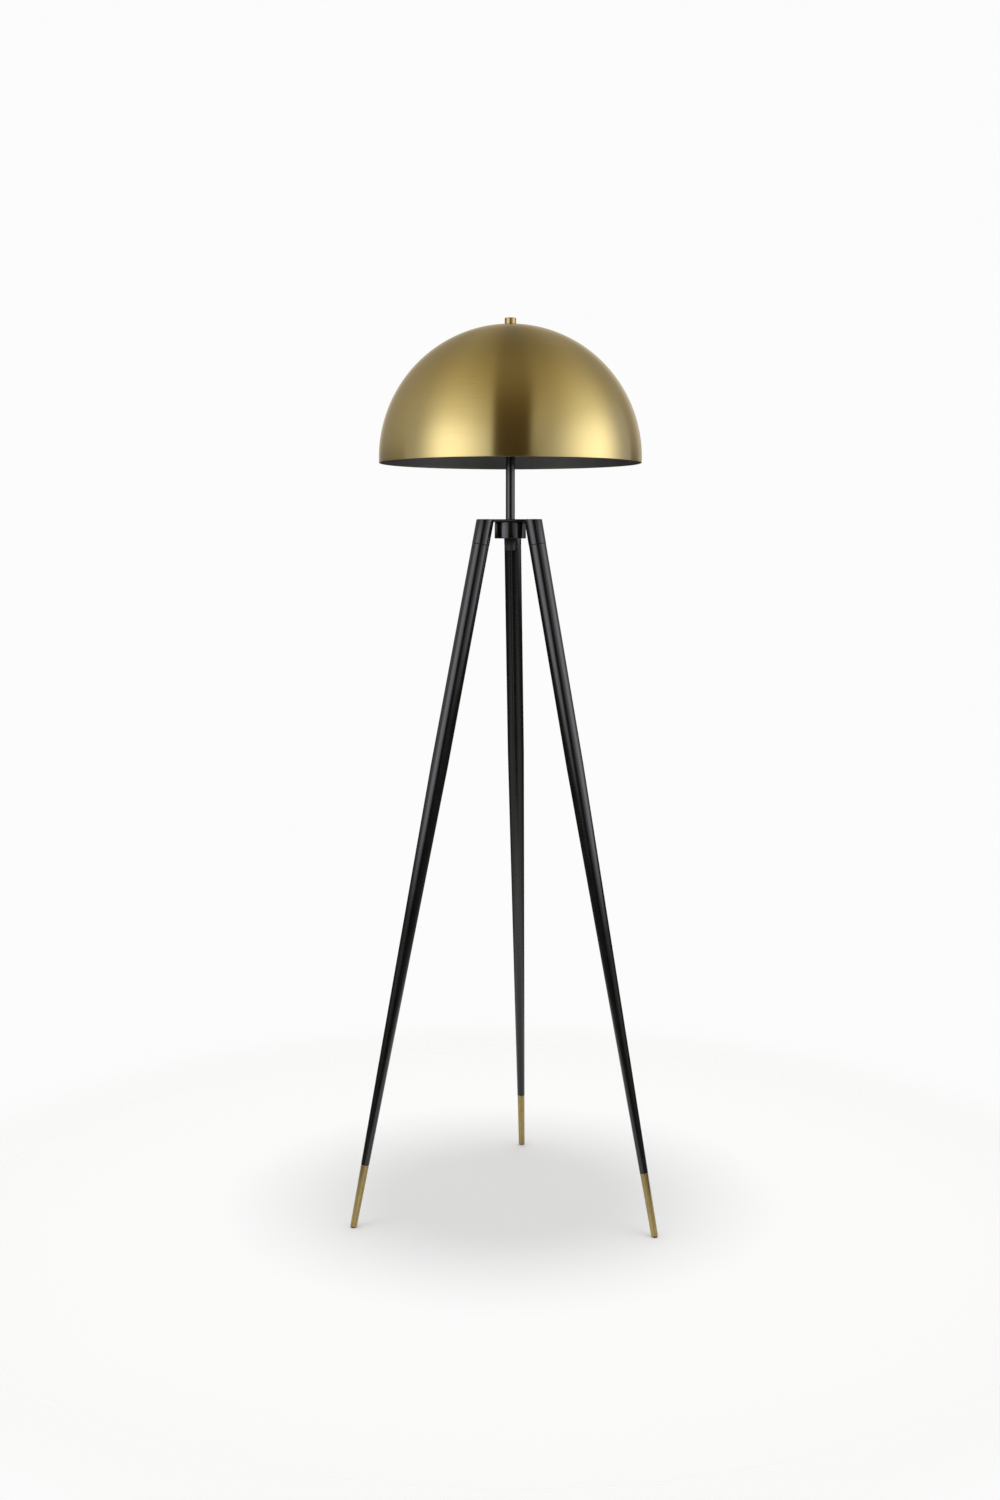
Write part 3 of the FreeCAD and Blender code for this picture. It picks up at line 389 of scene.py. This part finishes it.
# Each finish, by material slot: how it is drawn, and the shader values that are the same all over
FINISHES = {
    "shade_brass": (spun_brass, {"Metallic": 1.0, "Anisotropic": 0.98,
                                 "Anisotropic Rotation": 0.25, "Coat Weight": 0.85,
                                 "Coat Roughness": 0.15}),
    "finial_brass": (turned_metal((0.36, 0.265, 0.105), (0.50, 0.38, 0.165), 0.30, 0.42), METAL),
    "tip_brass": (along_brass(LEG_AZIMUTHS["rear"]), METAL),
    "black_coat": (coated((0.0028, 0.0029, 0.0029), (0.0058, 0.0060, 0.0061), 0.14, 0.20,
                          900.0, 0.008), {"Specular IOR Level": 0.62}),
    "shade_paint": (coated((0.058, 0.055, 0.051), (0.078, 0.074, 0.069), 0.36, 0.48,
                           700.0, 0.06), {}),
    "harp_brass": (turned_metal((0.54, 0.40, 0.17), (0.70, 0.55, 0.27), 0.20, 0.32), METAL),
    "zinc_steel": (turned_metal((0.46, 0.46, 0.45), (0.62, 0.62, 0.62), 0.26, 0.40), METAL),
    "contact_brass": (turned_metal((0.62, 0.46, 0.18), (0.76, 0.60, 0.28), 0.22, 0.36), METAL),
    "phenolic": (moulded((0.018, 0.016, 0.015), (0.034, 0.031, 0.028), 0.42, 0.55), {}),
    "liner_board": (moulded((0.26, 0.19, 0.12), (0.42, 0.33, 0.22), 0.8, 0.92, 700.0, 0.3), {}),
    "knob_plastic": (moulded((0.010, 0.010, 0.010), (0.020, 0.019, 0.018), 0.26, 0.36), {}),
    "bushing_nylon": (moulded((0.015, 0.015, 0.015), (0.028, 0.028, 0.028), 0.45, 0.58), {}),
    "lead_insulation": (moulded((0.26, 0.16, 0.07), (0.42, 0.28, 0.13), 0.30, 0.42),
                        {"Coat Weight": 0.5, "Coat Roughness": 0.2}),
    "connector_plastic": (moulded((0.66, 0.22, 0.03), (0.80, 0.30, 0.05), 0.36, 0.48), {}),
    "bulb_opal": (moulded((0.83, 0.83, 0.81), (0.88, 0.88, 0.86), 0.22, 0.30, 2600.0, 0.02),
                  {"Coat Weight": 0.4, "Coat Roughness": 0.08, "Subsurface Weight": 0.25,
                   "Subsurface Scale": 0.004}),
    "bulb_metal": (turned_metal((0.58, 0.58, 0.58), (0.74, 0.74, 0.75), 0.24, 0.38), METAL),
    "bulb_black_glass": (moulded((0.008, 0.008, 0.011), (0.018, 0.018, 0.022), 0.10, 0.18),
                         {"Coat Weight": 0.6, "Coat Roughness": 0.05}),
    "clear_glass": (moulded((0.86, 0.88, 0.87), (0.95, 0.96, 0.96), 0.03, 0.08, 900.0, 0.01),
                    {"Transmission Weight": 0.92}),
    "filament_yellow": (moulded((0.74, 0.52, 0.06), (0.88, 0.68, 0.12), 0.55, 0.7), {}),
    "pad_rubber": (moulded((0.014, 0.013, 0.012), (0.030, 0.028, 0.026), 0.7, 0.85,
                           1800.0, 0.2), {}),
}
MATERIALS = {name: surface(name, *finish) for name, finish in FINISHES.items()}

SLOTS = {part["node"]: part["material_slot"] for part in frame["record"]["subparts"]}
for node_name, node in frame["nodes"].items():
    node.data.materials[0] = MATERIALS[SLOTS[node_name]]

# ---- Shade ------------------------------------------------------------------------------------


def dome_outline():
    """The shell's two sides about the dome's centre, up the outside and back down the inside."""
    rim = SHADE_RIM_Z - DOME_CENTRE_Z
    inner = SHADE_RADIUS - SHADE_WALL
    outer_land = math.acos(CROWN_RADIUS / SHADE_RADIUS)
    crown = math.sqrt(SHADE_RADIUS ** 2 - CROWN_RADIUS ** 2)
    under = crown - SHADE_WALL
    inner_land = math.asin(under / inner)
    steps = 96
    edge_steps = 8
    edge = SHADE_WALL / 2.0
    outside = []
    for step in range(edge_steps + 1):
        turn = math.radians(-90.0 + 90.0 * step / edge_steps)
        outside.append((SHADE_RADIUS - edge + edge * math.cos(turn),
                        rim + edge + edge * math.sin(turn)))
    outside.append((SHADE_RADIUS, rim / 2.0))
    for step in range(steps + 1):
        turn = outer_land * step / steps
        outside.append((SHADE_RADIUS * math.cos(turn), SHADE_RADIUS * math.sin(turn)))
    outside.append((CROWN_RADIUS - 0.6 * MM, crown))
    outside.append((CROWN_HOLE_RADIUS + 0.3 * MM, crown))
    outside.append((CROWN_HOLE_RADIUS, crown - 0.3 * MM))
    inside = [(CROWN_HOLE_RADIUS, under)]
    for step in range(steps + 1):
        turn = inner_land * (1.0 - step / steps)
        inside.append((inner * math.cos(turn), inner * math.sin(turn)))
    inside.append((inner, rim / 2.0))
    for step in range(edge_steps + 1):
        turn = math.radians(180.0 + 90.0 * step / edge_steps)
        inside.append((inner + edge + edge * math.cos(turn), rim + edge + edge * math.sin(turn)))
    return outside, inside[:-1]


def build_shade():
    """The spun dome, with paint on its inside down to the bare rim."""
    outside, inside = dome_outline()
    bm = lathe(outside + inside, 256)
    for face in bm.faces:
        centre = face.calc_center_median()
        painted = face.normal.dot(Vector((centre.x, centre.y, max(centre.z, 0.0)))) < 0.0
        low = centre.z < SHADE_RIM_Z - DOME_CENTRE_Z + SHADE_WALL / 2.0
        face.material_index = 1 if painted and not low else 0
    placed(bm, "shade_dome_shell", [MATERIALS["shade_brass"], MATERIALS["shade_paint"]], "shade",
           ["shade_dome"], Matrix.Translation((0.0, 0.0, DOME_CENTRE_Z)))


build_shade()


def node_turned(name, node, body, outline, segments=96):
    """A turned piece, already at its height, that stands for one CAD node."""
    slot = SLOTS[node]
    placed(lathe(outline, segments), name, [MATERIALS[slot]], body, [node])


FINIAL_BORE = 3.25 * MM
FINIAL_TOP_WALL = 1.5 * MM
FINIAL_SEAT_GAP = 0.03 * MM

low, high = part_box("finial")
seat = low.z + FINIAL_SEAT_GAP
bore_end = high.z - FINIAL_TOP_WALL
node_turned("finial_nut", "finial", "finial", rounded([
    (FINIAL_BORE, seat, 0.0), (high.x, seat, 0.5 * MM), (high.x, high.z, 0.8 * MM),
    (0.0, high.z, 0.0), (0.0, bore_end, 0.0), (FINIAL_BORE, bore_end, 0.0)]))
low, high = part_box("finial_washer")
node_turned("finial_washer_disc", "finial_washer", "finial_washer", rounded([
    (FINIAL_BORE, low.z, 0.0), (high.x, low.z, 0.25 * MM), (high.x, high.z, 0.35 * MM),
    (FINIAL_BORE, high.z, 0.0)], 3))

# ---- Legs -------------------------------------------------------------------------------------

STUD_RADIUS = 4.0 * MM
STUD_HOLE_DEPTH = 21.0 * MM
LEG_WALL = 1.5 * MM
SPIGOT_RADIUS = 3.0 * MM
SPIGOT_HOLE_DEPTH = 17.0 * MM
PAD_STEM_RADIUS = 2.0 * MM
PAD_HOLE_DEPTH = 9.0 * MM


def build_socket(side, azimuth):
    """A round stub, cut off level with the hub's top plane."""
    hole_end = STUD_HOLE_DEPTH - SOCKET_LENGTH
    bm = lathe(rounded([
        (STUD_RADIUS, -SOCKET_LENGTH, 0.0), (SOCKET_RADIUS, -SOCKET_LENGTH, 0.85 * MM),
        (SOCKET_RADIUS, SOCKET_RADIUS, 0.0), (0.0, SOCKET_RADIUS, 0.0),
        (0.0, hole_end, 0.0), (STUD_RADIUS, hole_end, 0.0)]))
    place = leg_place(azimuth)
    back = place.inverted()
    plane_point = back @ Vector((0.0, 0.0, HUB_TOP_Z))
    plane_normal = back.to_3x3() @ Vector((0.0, 0.0, 1.0))
    cut = bmesh.ops.bisect_plane(bm, geom=bm.verts[:] + bm.edges[:] + bm.faces[:], dist=1e-6,
                                 plane_co=plane_point, plane_no=plane_normal, clear_outer=True)
    rim = [item for item in cut["geom_cut"] if isinstance(item, bmesh.types.BMEdge)]
    bmesh.ops.contextual_create(bm, geom=rim)
    rim = [edge for edge in bm.edges if edge.is_manifold
           and all(abs((v.co - plane_point).dot(plane_normal)) < 1e-6 for v in edge.verts)]
    bmesh.ops.bevel(bm, geom=rim, offset=0.5 * MM, offset_type="OFFSET", segments=4, profile=0.5,
                    affect="EDGES")
    bmesh.ops.recalc_face_normals(bm, faces=bm.faces)
    bm.transform(place)
    obj = placed(bm, "leg_socket_body_" + side, [MATERIALS["black_coat"]], "stand",
                 ["leg_socket_" + side])
    obj.data.set_sharp_from_angle(angle=math.radians(40.0))


def build_leg(side, azimuth):
    """A tapered tube, and the brass tip below it with its spigot and pad holes."""
    place = leg_place(azimuth)
    tube = rounded([
        (LEG_RADIUS - LEG_WALL, -SOCKET_LENGTH, 0.0), (LEG_RADIUS, -SOCKET_LENGTH, 0.8 * MM),
        (LEG_RADIUS, -TAPER_START, 0.0), (LEG_END_RADIUS, -TIP_START, 0.2 * MM),
        (LEG_END_RADIUS - LEG_WALL, -TIP_START, 0.0), (LEG_RADIUS - LEG_WALL, -TAPER_START, 0.0)])
    bm = lathe(tube, 96)
    bm.transform(place)
    placed(bm, "leg_tube_body_" + side, [MATERIALS["black_coat"]], "stand",
           ["leg_tube_" + side])
    pad_hole_end = PAD_HOLE_DEPTH - TIP_END
    spigot_hole_end = -TIP_START - SPIGOT_HOLE_DEPTH
    tip = rounded([
        (SPIGOT_RADIUS, -TIP_START, 0.0), (TIP_TOP_RADIUS, -TIP_START, 0.25 * MM),
        (TIP_END_RADIUS, -TIP_END, 1.0 * MM), (PAD_STEM_RADIUS, -TIP_END, 0.0),
        (PAD_STEM_RADIUS, pad_hole_end, 0.0), (0.0, pad_hole_end, 0.0),
        (0.0, spigot_hole_end, 0.0), (SPIGOT_RADIUS, spigot_hole_end, 0.0)], 6)
    bm = lathe(tip, 96)
    bm.transform(place)
    brass = surface("tip_brass_" + side, along_brass(azimuth), METAL)
    placed(bm, "foot_tip_body_" + side, [brass], "stand", ["foot_tip_" + side])


for leg_side, leg_azimuth in LEG_AZIMUTHS.items():
    build_socket(leg_side, leg_azimuth)
    build_leg(leg_side, leg_azimuth)

# ---- Stem and hub ---------------------------------------------------------------------------


def ring_outline(node, inner, edge):
    """A plain turned ring as tall and as wide as a node, with both outer edges rounded."""
    low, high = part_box(node)
    return rounded([(inner, low.z, 0.0), (high.x, low.z, edge), (high.x, high.z, edge),
                    (inner, high.z, 0.0)], 3)


STEM_BORE = 6.8 * MM
NIPPLE_RADIUS = 5.0 * MM
CORD_BORE = 3.5 * MM
COVER_HOLE_RADIUS = 5.0 * MM
COVER_BOTTOM_Z = 1202.5 * MM
PLATE_EDGE = 0.4 * MM
DRUM_EDGE = 0.15 * MM

node_turned("stem_tube_body", "stem_tube", "stand",
            ring_outline("stem_tube", STEM_BORE, 0.25 * MM), 128)
node_turned("stem_check_ring_disc", "stem_check_ring", "stand",
            ring_outline("stem_check_ring", NIPPLE_RADIUS, 0.35 * MM))


def build_strain_relief():
    """A plain sleeve with a rounded mouth, on the neck that snaps through the cover."""
    low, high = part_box("cord_bushing")
    node_turned("strain_relief", "cord_bushing", "stand", rounded([
        (CORD_BORE, low.z, 0.5 * MM), (high.x, low.z, 1.2 * MM), (high.x, COVER_BOTTOM_Z, 0.0),
        (COVER_HOLE_RADIUS, COVER_BOTTOM_Z, 0.0), (COVER_HOLE_RADIUS, high.z, 0.4 * MM),
        (CORD_BORE, high.z, 0.3 * MM)], 4))


build_strain_relief()
softened("hub_plate", "hub_plate_body", PLATE_EDGE)
softened("hub_drum", "hub_drum_body", DRUM_EDGE)

# ---- Harp -------------------------------------------------------------------------------------

HARP_WIRE_RADIUS = 1.6 * MM
HARP_CROWN_Z = 1560.97 * MM
# Each bend on the right-hand side: across, height and bend radius
HARP_ELBOWS = [(31.0 * MM, 1396.0 * MM, 30.0 * MM), (58.0 * MM, 1448.0 * MM, 60.0 * MM),
               (44.0 * MM, HARP_CROWN_Z, 34.0 * MM)]


def swept(path, radius, segments=32):
    """A round wire along a path of (x, z) points in the XZ plane."""
    bm = bmesh.new()
    across = Vector((0.0, 1.0, 0.0))
    points = [Vector((x, 0.0, z)) for x, z in path]
    rings = []
    for index, point in enumerate(points):
        before = points[max(index - 1, 0)]
        after = points[min(index + 1, len(points) - 1)]
        outward = across.cross((after - before).normalized())
        ring = []
        for step in range(segments):
            angle = 2.0 * math.pi * step / segments
            spoke = math.cos(angle) * outward + math.sin(angle) * across
            ring.append(bm.verts.new(point + radius * spoke))
        rings.append(ring)
    for low, high in zip(rings, rings[1:]):
        for step in range(segments):
            onward = (step + 1) % segments
            bm.faces.new((low[step], low[onward], high[onward], high[step]))
    bm.faces.new(rings[0])
    bm.faces.new(rings[-1])
    bmesh.ops.recalc_face_normals(bm, faces=bm.faces)
    return bm


def build_harp():
    """The sprung wire bow, as one bent round wire."""
    foot_x = HARP_ELBOWS[0][0]
    foot_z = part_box("harp")[0].z
    right = [(foot_x, foot_z, 0.0)] + HARP_ELBOWS
    left = [(-x, z, bend) for x, z, bend in reversed(right)]
    wire = swept(rounded(right + left, 20), HARP_WIRE_RADIUS)
    obj = placed(wire, "harp_wire", [MATERIALS["harp_brass"]], "stand", ["harp"])
    obj.data.set_sharp_from_angle(angle=math.radians(40.0))


build_harp()

# ---- Lampholder and bulb -----------------------------------------------------------------------

HOLDER_NECK_RADIUS = 8.5 * MM
HOLDER_NECK_TOP = 1360.5 * MM
HOLDER_SHOULDER_TOP = 1366.1 * MM
HOLDER_CAP_WALL = 1.0 * MM
HOLDER_LIP_HEIGHT = 3.0 * MM
HOLDER_GROOVE = 0.45 * MM

THREAD_PITCH = 25.4 / 7.0 * MM
THREAD_DEPTH = 0.5 * MM
THREAD_ROW = 0.25 * MM

BULB_Z = 1389.7 * MM
BULB_RADIUS = 30.0 * MM
BULB_TOP_Z = 1497.7 * MM
BULB_WALL = 0.8 * MM
BULB_NECK_RADIUS = 12.5 * MM
BULB_NECK_TOP_Z = BULB_Z + 28.8 * MM
BULB_CAP_BOTTOM_RADIUS = 11.5 * MM
BULB_CAP_TAPER = 2.5 * MM


def build_holder_cap():
    """A drawn brass cap: a neck, a rounded shoulder and a straight side with a rolled bead."""
    low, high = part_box("lampholder_cap")
    inner = high.x - HOLDER_CAP_WALL
    groove = high.x - HOLDER_GROOVE
    bead_z = high.z - HOLDER_LIP_HEIGHT
    node_turned("lampholder_cap_body", "lampholder_cap", "stand", rounded([
        (NIPPLE_RADIUS, low.z, 0.0), (HOLDER_NECK_RADIUS, low.z, 0.5 * MM),
        (HOLDER_NECK_RADIUS, HOLDER_NECK_TOP, 1.2 * MM), (high.x, HOLDER_SHOULDER_TOP, 2.2 * MM),
        (high.x, bead_z - 1.4 * MM, 0.2 * MM), (groove, bead_z - 0.9 * MM, 0.2 * MM),
        (groove, bead_z - 0.4 * MM, 0.2 * MM), (high.x, bead_z, 0.2 * MM),
        (high.x, high.z, 0.4 * MM), (inner, high.z, 0.0),
        (inner, HOLDER_SHOULDER_TOP + HOLDER_CAP_WALL / 2.0, 0.0),
        (HOLDER_NECK_RADIUS, HOLDER_NECK_TOP + HOLDER_CAP_WALL, 0.0),
        (NIPPLE_RADIUS, HOLDER_NECK_TOP + HOLDER_CAP_WALL, 0.0)], 4), 128)


def build_bulb_cap():
    """A rolled screw cap. Its thread is a wave in the sheet that climbs one pitch a turn."""
    low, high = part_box("bulb_cap")
    wall = high.x - BULB_NECK_RADIUS
    taper_top = low.z + BULB_CAP_TAPER
    rows = int((high.z - taper_top) / THREAD_ROW)
    side = [(high.x, taper_top + (high.z - taper_top) * row / rows) for row in range(rows + 1)]
    outline = [(BULB_CAP_BOTTOM_RADIUS, low.z)] + side
    outline += [(BULB_NECK_RADIUS, high.z), (BULB_NECK_RADIUS, taper_top),
                (BULB_CAP_BOTTOM_RADIUS - wall, low.z)]
    bm = lathe(outline, 96)
    for vert in bm.verts:
        reach = vert.co.xy.length
        if reach < high.x - 1e-6:
            continue
        turns = math.atan2(vert.co.y, vert.co.x) / (2.0 * math.pi)
        wave = 0.5 - 0.5 * math.cos(2.0 * math.pi * (vert.co.z / THREAD_PITCH - turns))
        fade = min(1.0, (vert.co.z - taper_top) / THREAD_PITCH, (high.z - vert.co.z) / THREAD_PITCH)
        scale = (reach - THREAD_DEPTH * wave * fade) / reach
        vert.co.x *= scale
        vert.co.y *= scale
    placed(bm, "bulb_cap_thread", [MATERIALS["bulb_metal"]], "bulb", ["bulb_cap"])


def bulb_outline(inset, low_z):
    """A straight neck, a hollow arc and a round bowl, moved inward by inset."""
    rise = BULB_TOP_Z - BULB_RADIUS - BULB_NECK_TOP_Z
    hollow = ((BULB_NECK_RADIUS ** 2 + rise ** 2 - BULB_RADIUS ** 2)
              / (2.0 * (BULB_RADIUS - BULB_NECK_RADIUS)))
    slope = math.atan2(rise, BULB_NECK_RADIUS + hollow)
    steps = 24
    outline = [(BULB_NECK_RADIUS - inset, low_z)]
    for step in range(steps):
        turn = math.pi - slope * step / steps
        outline.append((BULB_NECK_RADIUS + hollow + (hollow + inset) * math.cos(turn),
                        BULB_NECK_TOP_Z + (hollow + inset) * math.sin(turn)))
    for step in range(2 * steps + 1):
        turn = -slope + (math.pi / 2.0 + slope) * step / (2 * steps)
        outline.append(((BULB_RADIUS - inset) * math.cos(turn),
                        BULB_TOP_Z - BULB_RADIUS + (BULB_RADIUS - inset) * math.sin(turn)))
    outline[-1] = (0.0, BULB_TOP_Z - inset)
    return outline


def build_bulb_glass():
    """A thin pear-shaped envelope."""
    low_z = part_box("bulb_glass")[0].z
    outside = bulb_outline(0.0, low_z)
    inside = bulb_outline(BULB_WALL, low_z)
    node_turned("bulb_glass_shell", "bulb_glass", "bulb", outside + inside[::-1], 128)


build_holder_cap()
build_bulb_cap()
build_bulb_glass()

# ---- Camera, floor and light -------------------------------------------------------------------

CAMERA_PLACE = (0.2403, -3.0724, 1.1763)
CAMERA_DIP = math.radians(6.446)
CAMERA_TURN = 0.0839

camera_data = bpy.data.cameras.new("camera")
camera_data.lens = 41.92
camera_data.sensor_width = 36.0
camera = bpy.data.objects.new("camera", camera_data)
camera.location = CAMERA_PLACE
camera.rotation_euler = (math.radians(90.0) - CAMERA_DIP, 0.0, CAMERA_TURN)
scene.collection.objects.link(camera)
scene.camera = camera

FLOOR_RADIUS = 2.4
# The floor thins out to the white backdrop between these distances from the lamp
FLOOR_FADE = (0.5, 1.25)


def floor_material():
    """Pale paper that fades into the backdrop."""
    material = bpy.data.materials.new("floor")
    material.use_nodes = True
    graph = Graph(material.node_tree)
    x, y, _ = graph.split(graph.object_point())
    reach = graph.math("SQRT", graph.math("ADD", graph.math("MULTIPLY", x, x),
                                          graph.math("MULTIPLY", y, y)))
    paper = graph.node("ShaderNodeBsdfDiffuse", {"Color": shade((0.9, 0.9, 0.9))})
    clear = graph.node("ShaderNodeBsdfTransparent")
    mix = graph.node("ShaderNodeMixShader", {0: graph.step(reach, *FLOOR_FADE)})
    graph.tree.links.new(paper.outputs[0], mix.inputs[1])
    graph.tree.links.new(clear.outputs[0], mix.inputs[2])
    output = graph.node("ShaderNodeOutputMaterial")
    graph.tree.links.new(mix.outputs[0], output.inputs["Surface"])
    return material


def build_floor():
    bm = bmesh.new()
    bmesh.ops.create_circle(bm, cap_ends=True, segments=128, radius=FLOOR_RADIUS)
    mesh = bpy.data.meshes.new("floor")
    bm.to_mesh(mesh)
    bm.free()
    mesh.materials.append(floor_material())
    floor = bpy.data.objects.new("floor", mesh)
    scene.collection.objects.link(floor)


build_floor()

BACKGROUND = 0.973
EVEN_LIGHT = 0.852
# The bearing of each soft light from the lamp's front, and its width, in degrees
STUDIO_LIGHTS = [(-47.0, 25.0), (81.0, 23.0)]
LIGHTS_STRENGTH = 0.35
LOW_LIGHT = 0.42
BACK_LIGHT = 0.25
GAP_DEPTH = 0.87
NEAR_WARMTH = (1.0, 0.99, 0.96)
HIGH_WARMTH = (1.0, 0.83, 0.52)
BACK_WARMTH = (1.0, 0.88, 0.68)
GAP_WARMTH = (1.0, 0.69, 0.38)


def build_world():
    """White to the camera, an even soft light to matt surfaces, and to shiny ones a studio of two
    wide soft lights, left and right of a dark gap that faces the lamp's front."""
    world = bpy.data.worlds.new("studio")
    scene.world = world
    world.use_nodes = True
    graph = Graph(world.node_tree)
    x, y, z = graph.split(graph.node("ShaderNodeTexCoord").outputs["Generated"])
    degrees = 180.0 / math.pi
    bearing = graph.math("MULTIPLY", graph.math("ARCTAN2", x, graph.math("MULTIPLY", y, -1.0)),
                         degrees)
    rise = graph.math("MULTIPLY", graph.math("ARCSINE", z), degrees)

    lights = graph.math("ADD", *[graph.hump(graph.math("SUBTRACT", bearing, centre), width)
                                 for centre, width in STUDIO_LIGHTS])
    wide = graph.math("MULTIPLY", lights, graph.step(rise, 12.0, 75.0, 1.0, 0.0))
    wide = graph.math("MULTIPLY", wide, graph.step(rise, -1.0, 4.0))
    room = graph.step(rise, -2.0, 7.0, 0.05, 0.66)
    room = graph.math("MULTIPLY", room, graph.step(rise, 14.0, 82.0, 1.0, 0.52))
    front = graph.math("COSINE", graph.math("DIVIDE", bearing, degrees))
    room = graph.math("MULTIPLY", room, graph.step(front, -1.0, 0.2, 0.58, 1.0))
    soft = graph.math("MULTIPLY_ADD", wide, LIGHTS_STRENGTH, room)
    soft = graph.math("ADD", soft, graph.step(rise, -24.0, -14.0, LOW_LIGHT, 0.0))
    soft = graph.math("MULTIPLY_ADD", graph.step(y, 0.82, 0.97), BACK_LIGHT, soft)
    band = graph.math("MULTIPLY", graph.step(x, -0.19, -0.15), graph.step(x, 0.345, 0.38, 1.0, 0.0))
    band = graph.math("MULTIPLY", band, graph.step(y, -0.10, 0.10, 1.0, 0.0))
    gap = graph.math("MULTIPLY", band, graph.step(rise, 35.0, 75.0, 1.0, 0.0))
    opening = graph.math("MULTIPLY_ADD", gap, -GAP_DEPTH, 1.0)
    warmth = graph.blend(graph.step(rise, 14.0, 62.0), shade(NEAR_WARMTH), shade(HIGH_WARMTH))
    warmth = graph.blend(graph.step(front, 0.1, -0.8), warmth, shade(BACK_WARMTH))
    warmth = graph.blend(gap, warmth, shade(GAP_WARMTH))
    studio = graph.node("ShaderNodeBackground", {"Color": warmth,
                                                 "Strength": graph.math("MULTIPLY", soft, opening)})
    even = graph.node("ShaderNodeBackground", {"Color": shade((1.0, 1.0, 1.0)),
                                               "Strength": EVEN_LIGHT})
    white = graph.node("ShaderNodeBackground", {"Color": shade((1.0, 1.0, 1.0)),
                                                "Strength": BACKGROUND})
    path = graph.node("ShaderNodeLightPath")
    inner = graph.node("ShaderNodeMixShader")
    graph.tree.links.new(path.outputs["Is Diffuse Ray"], inner.inputs[0])
    graph.tree.links.new(studio.outputs[0], inner.inputs[1])
    graph.tree.links.new(even.outputs[0], inner.inputs[2])
    outer = graph.node("ShaderNodeMixShader")
    graph.tree.links.new(path.outputs["Is Camera Ray"], outer.inputs[0])
    graph.tree.links.new(inner.outputs[0], outer.inputs[1])
    graph.tree.links.new(white.outputs[0], outer.inputs[2])
    output = graph.node("ShaderNodeOutputWorld")
    graph.tree.links.new(outer.outputs[0], output.inputs["Surface"])


build_world()

PANEL_DISTANCE = 2.2
# Each panel's bearing from the lamp's front and its turn, in degrees, and how far it reaches from
# its middle in its own -X and +X
PANELS = {"left": (-48.0, -48.0, 2.4, 1.68), "right": (82.0, 262.0, 2.4, 3.0)}
PANEL_OUTER_SPREAD = 0.88
PANEL_INNER_SPREAD = 1.4
PANEL_BASE = 0.52
PANEL_LOW = 0.6
PANEL_FULL_Z = 1.0
PANEL_FADE_Z = 1.7
PANEL_HIGH = 2.8
PANEL_STRENGTH = 2.15
PANEL_COLOUR = (0.99, 1.0, 1.08)


def panel_material():
    """A soft light, brightest along its middle, that fades out upward and at its foot."""
    material = bpy.data.materials.new("panel")
    material.use_nodes = True
    graph = Graph(material.node_tree)
    x, _, z = graph.split(graph.object_point())
    spread = graph.range(x, -0.01, 0.01, PANEL_OUTER_SPREAD, PANEL_INNER_SPREAD)
    bright = graph.math("MULTIPLY", graph.hump(x, spread),
                        graph.step(z, PANEL_FADE_Z, PANEL_HIGH, 1.0, 0.0))
    strength = graph.math("MULTIPLY_ADD", bright, PANEL_STRENGTH, PANEL_BASE)
    strength = graph.math("MULTIPLY", strength, graph.step(z, PANEL_LOW, PANEL_FULL_Z))
    lamp = graph.node("ShaderNodeEmission", {"Color": shade(PANEL_COLOUR), "Strength": strength})
    output = graph.node("ShaderNodeOutputMaterial")
    graph.tree.links.new(lamp.outputs[0], output.inputs["Surface"])
    return material


def build_panel(side, bearing, turn, outer, inner, material):
    """An upright soft light that only shiny surfaces see, facing the lamp."""
    bm = bmesh.new()
    corners = [(-outer, PANEL_LOW), (inner, PANEL_LOW), (inner, PANEL_HIGH), (-outer, PANEL_HIGH)]
    bm.faces.new([bm.verts.new((across, 0.0, height)) for across, height in corners])
    mesh = bpy.data.meshes.new("panel_" + side)
    bm.to_mesh(mesh)
    bm.free()
    mesh.materials.append(material)
    panel = bpy.data.objects.new("panel_" + side, mesh)
    toward = math.radians(bearing)
    panel.location = (PANEL_DISTANCE * math.sin(toward), -PANEL_DISTANCE * math.cos(toward), 0.0)
    panel.rotation_euler = (0.0, 0.0, math.radians(turn))
    panel.visible_camera = False
    panel.visible_diffuse = False
    panel.visible_transmission = False
    panel.visible_shadow = False
    scene.collection.objects.link(panel)


soft_panel = panel_material()
for panel_side, panel_layout in PANELS.items():
    build_panel(panel_side, *panel_layout, soft_panel)

OVERHEAD_SIZE = 0.60
OVERHEAD_POWER = 37.0
OVERHEAD_PLACE = (0.03, -0.05, 3.64)

overhead_data = bpy.data.lights.new("overhead", "AREA")
overhead_data.shape = "DISK"
overhead_data.size = OVERHEAD_SIZE
overhead_data.energy = OVERHEAD_POWER
overhead = bpy.data.objects.new("overhead", overhead_data)
overhead.location = OVERHEAD_PLACE
overhead.visible_glossy = False
overhead.visible_camera = False
scene.collection.objects.link(overhead)
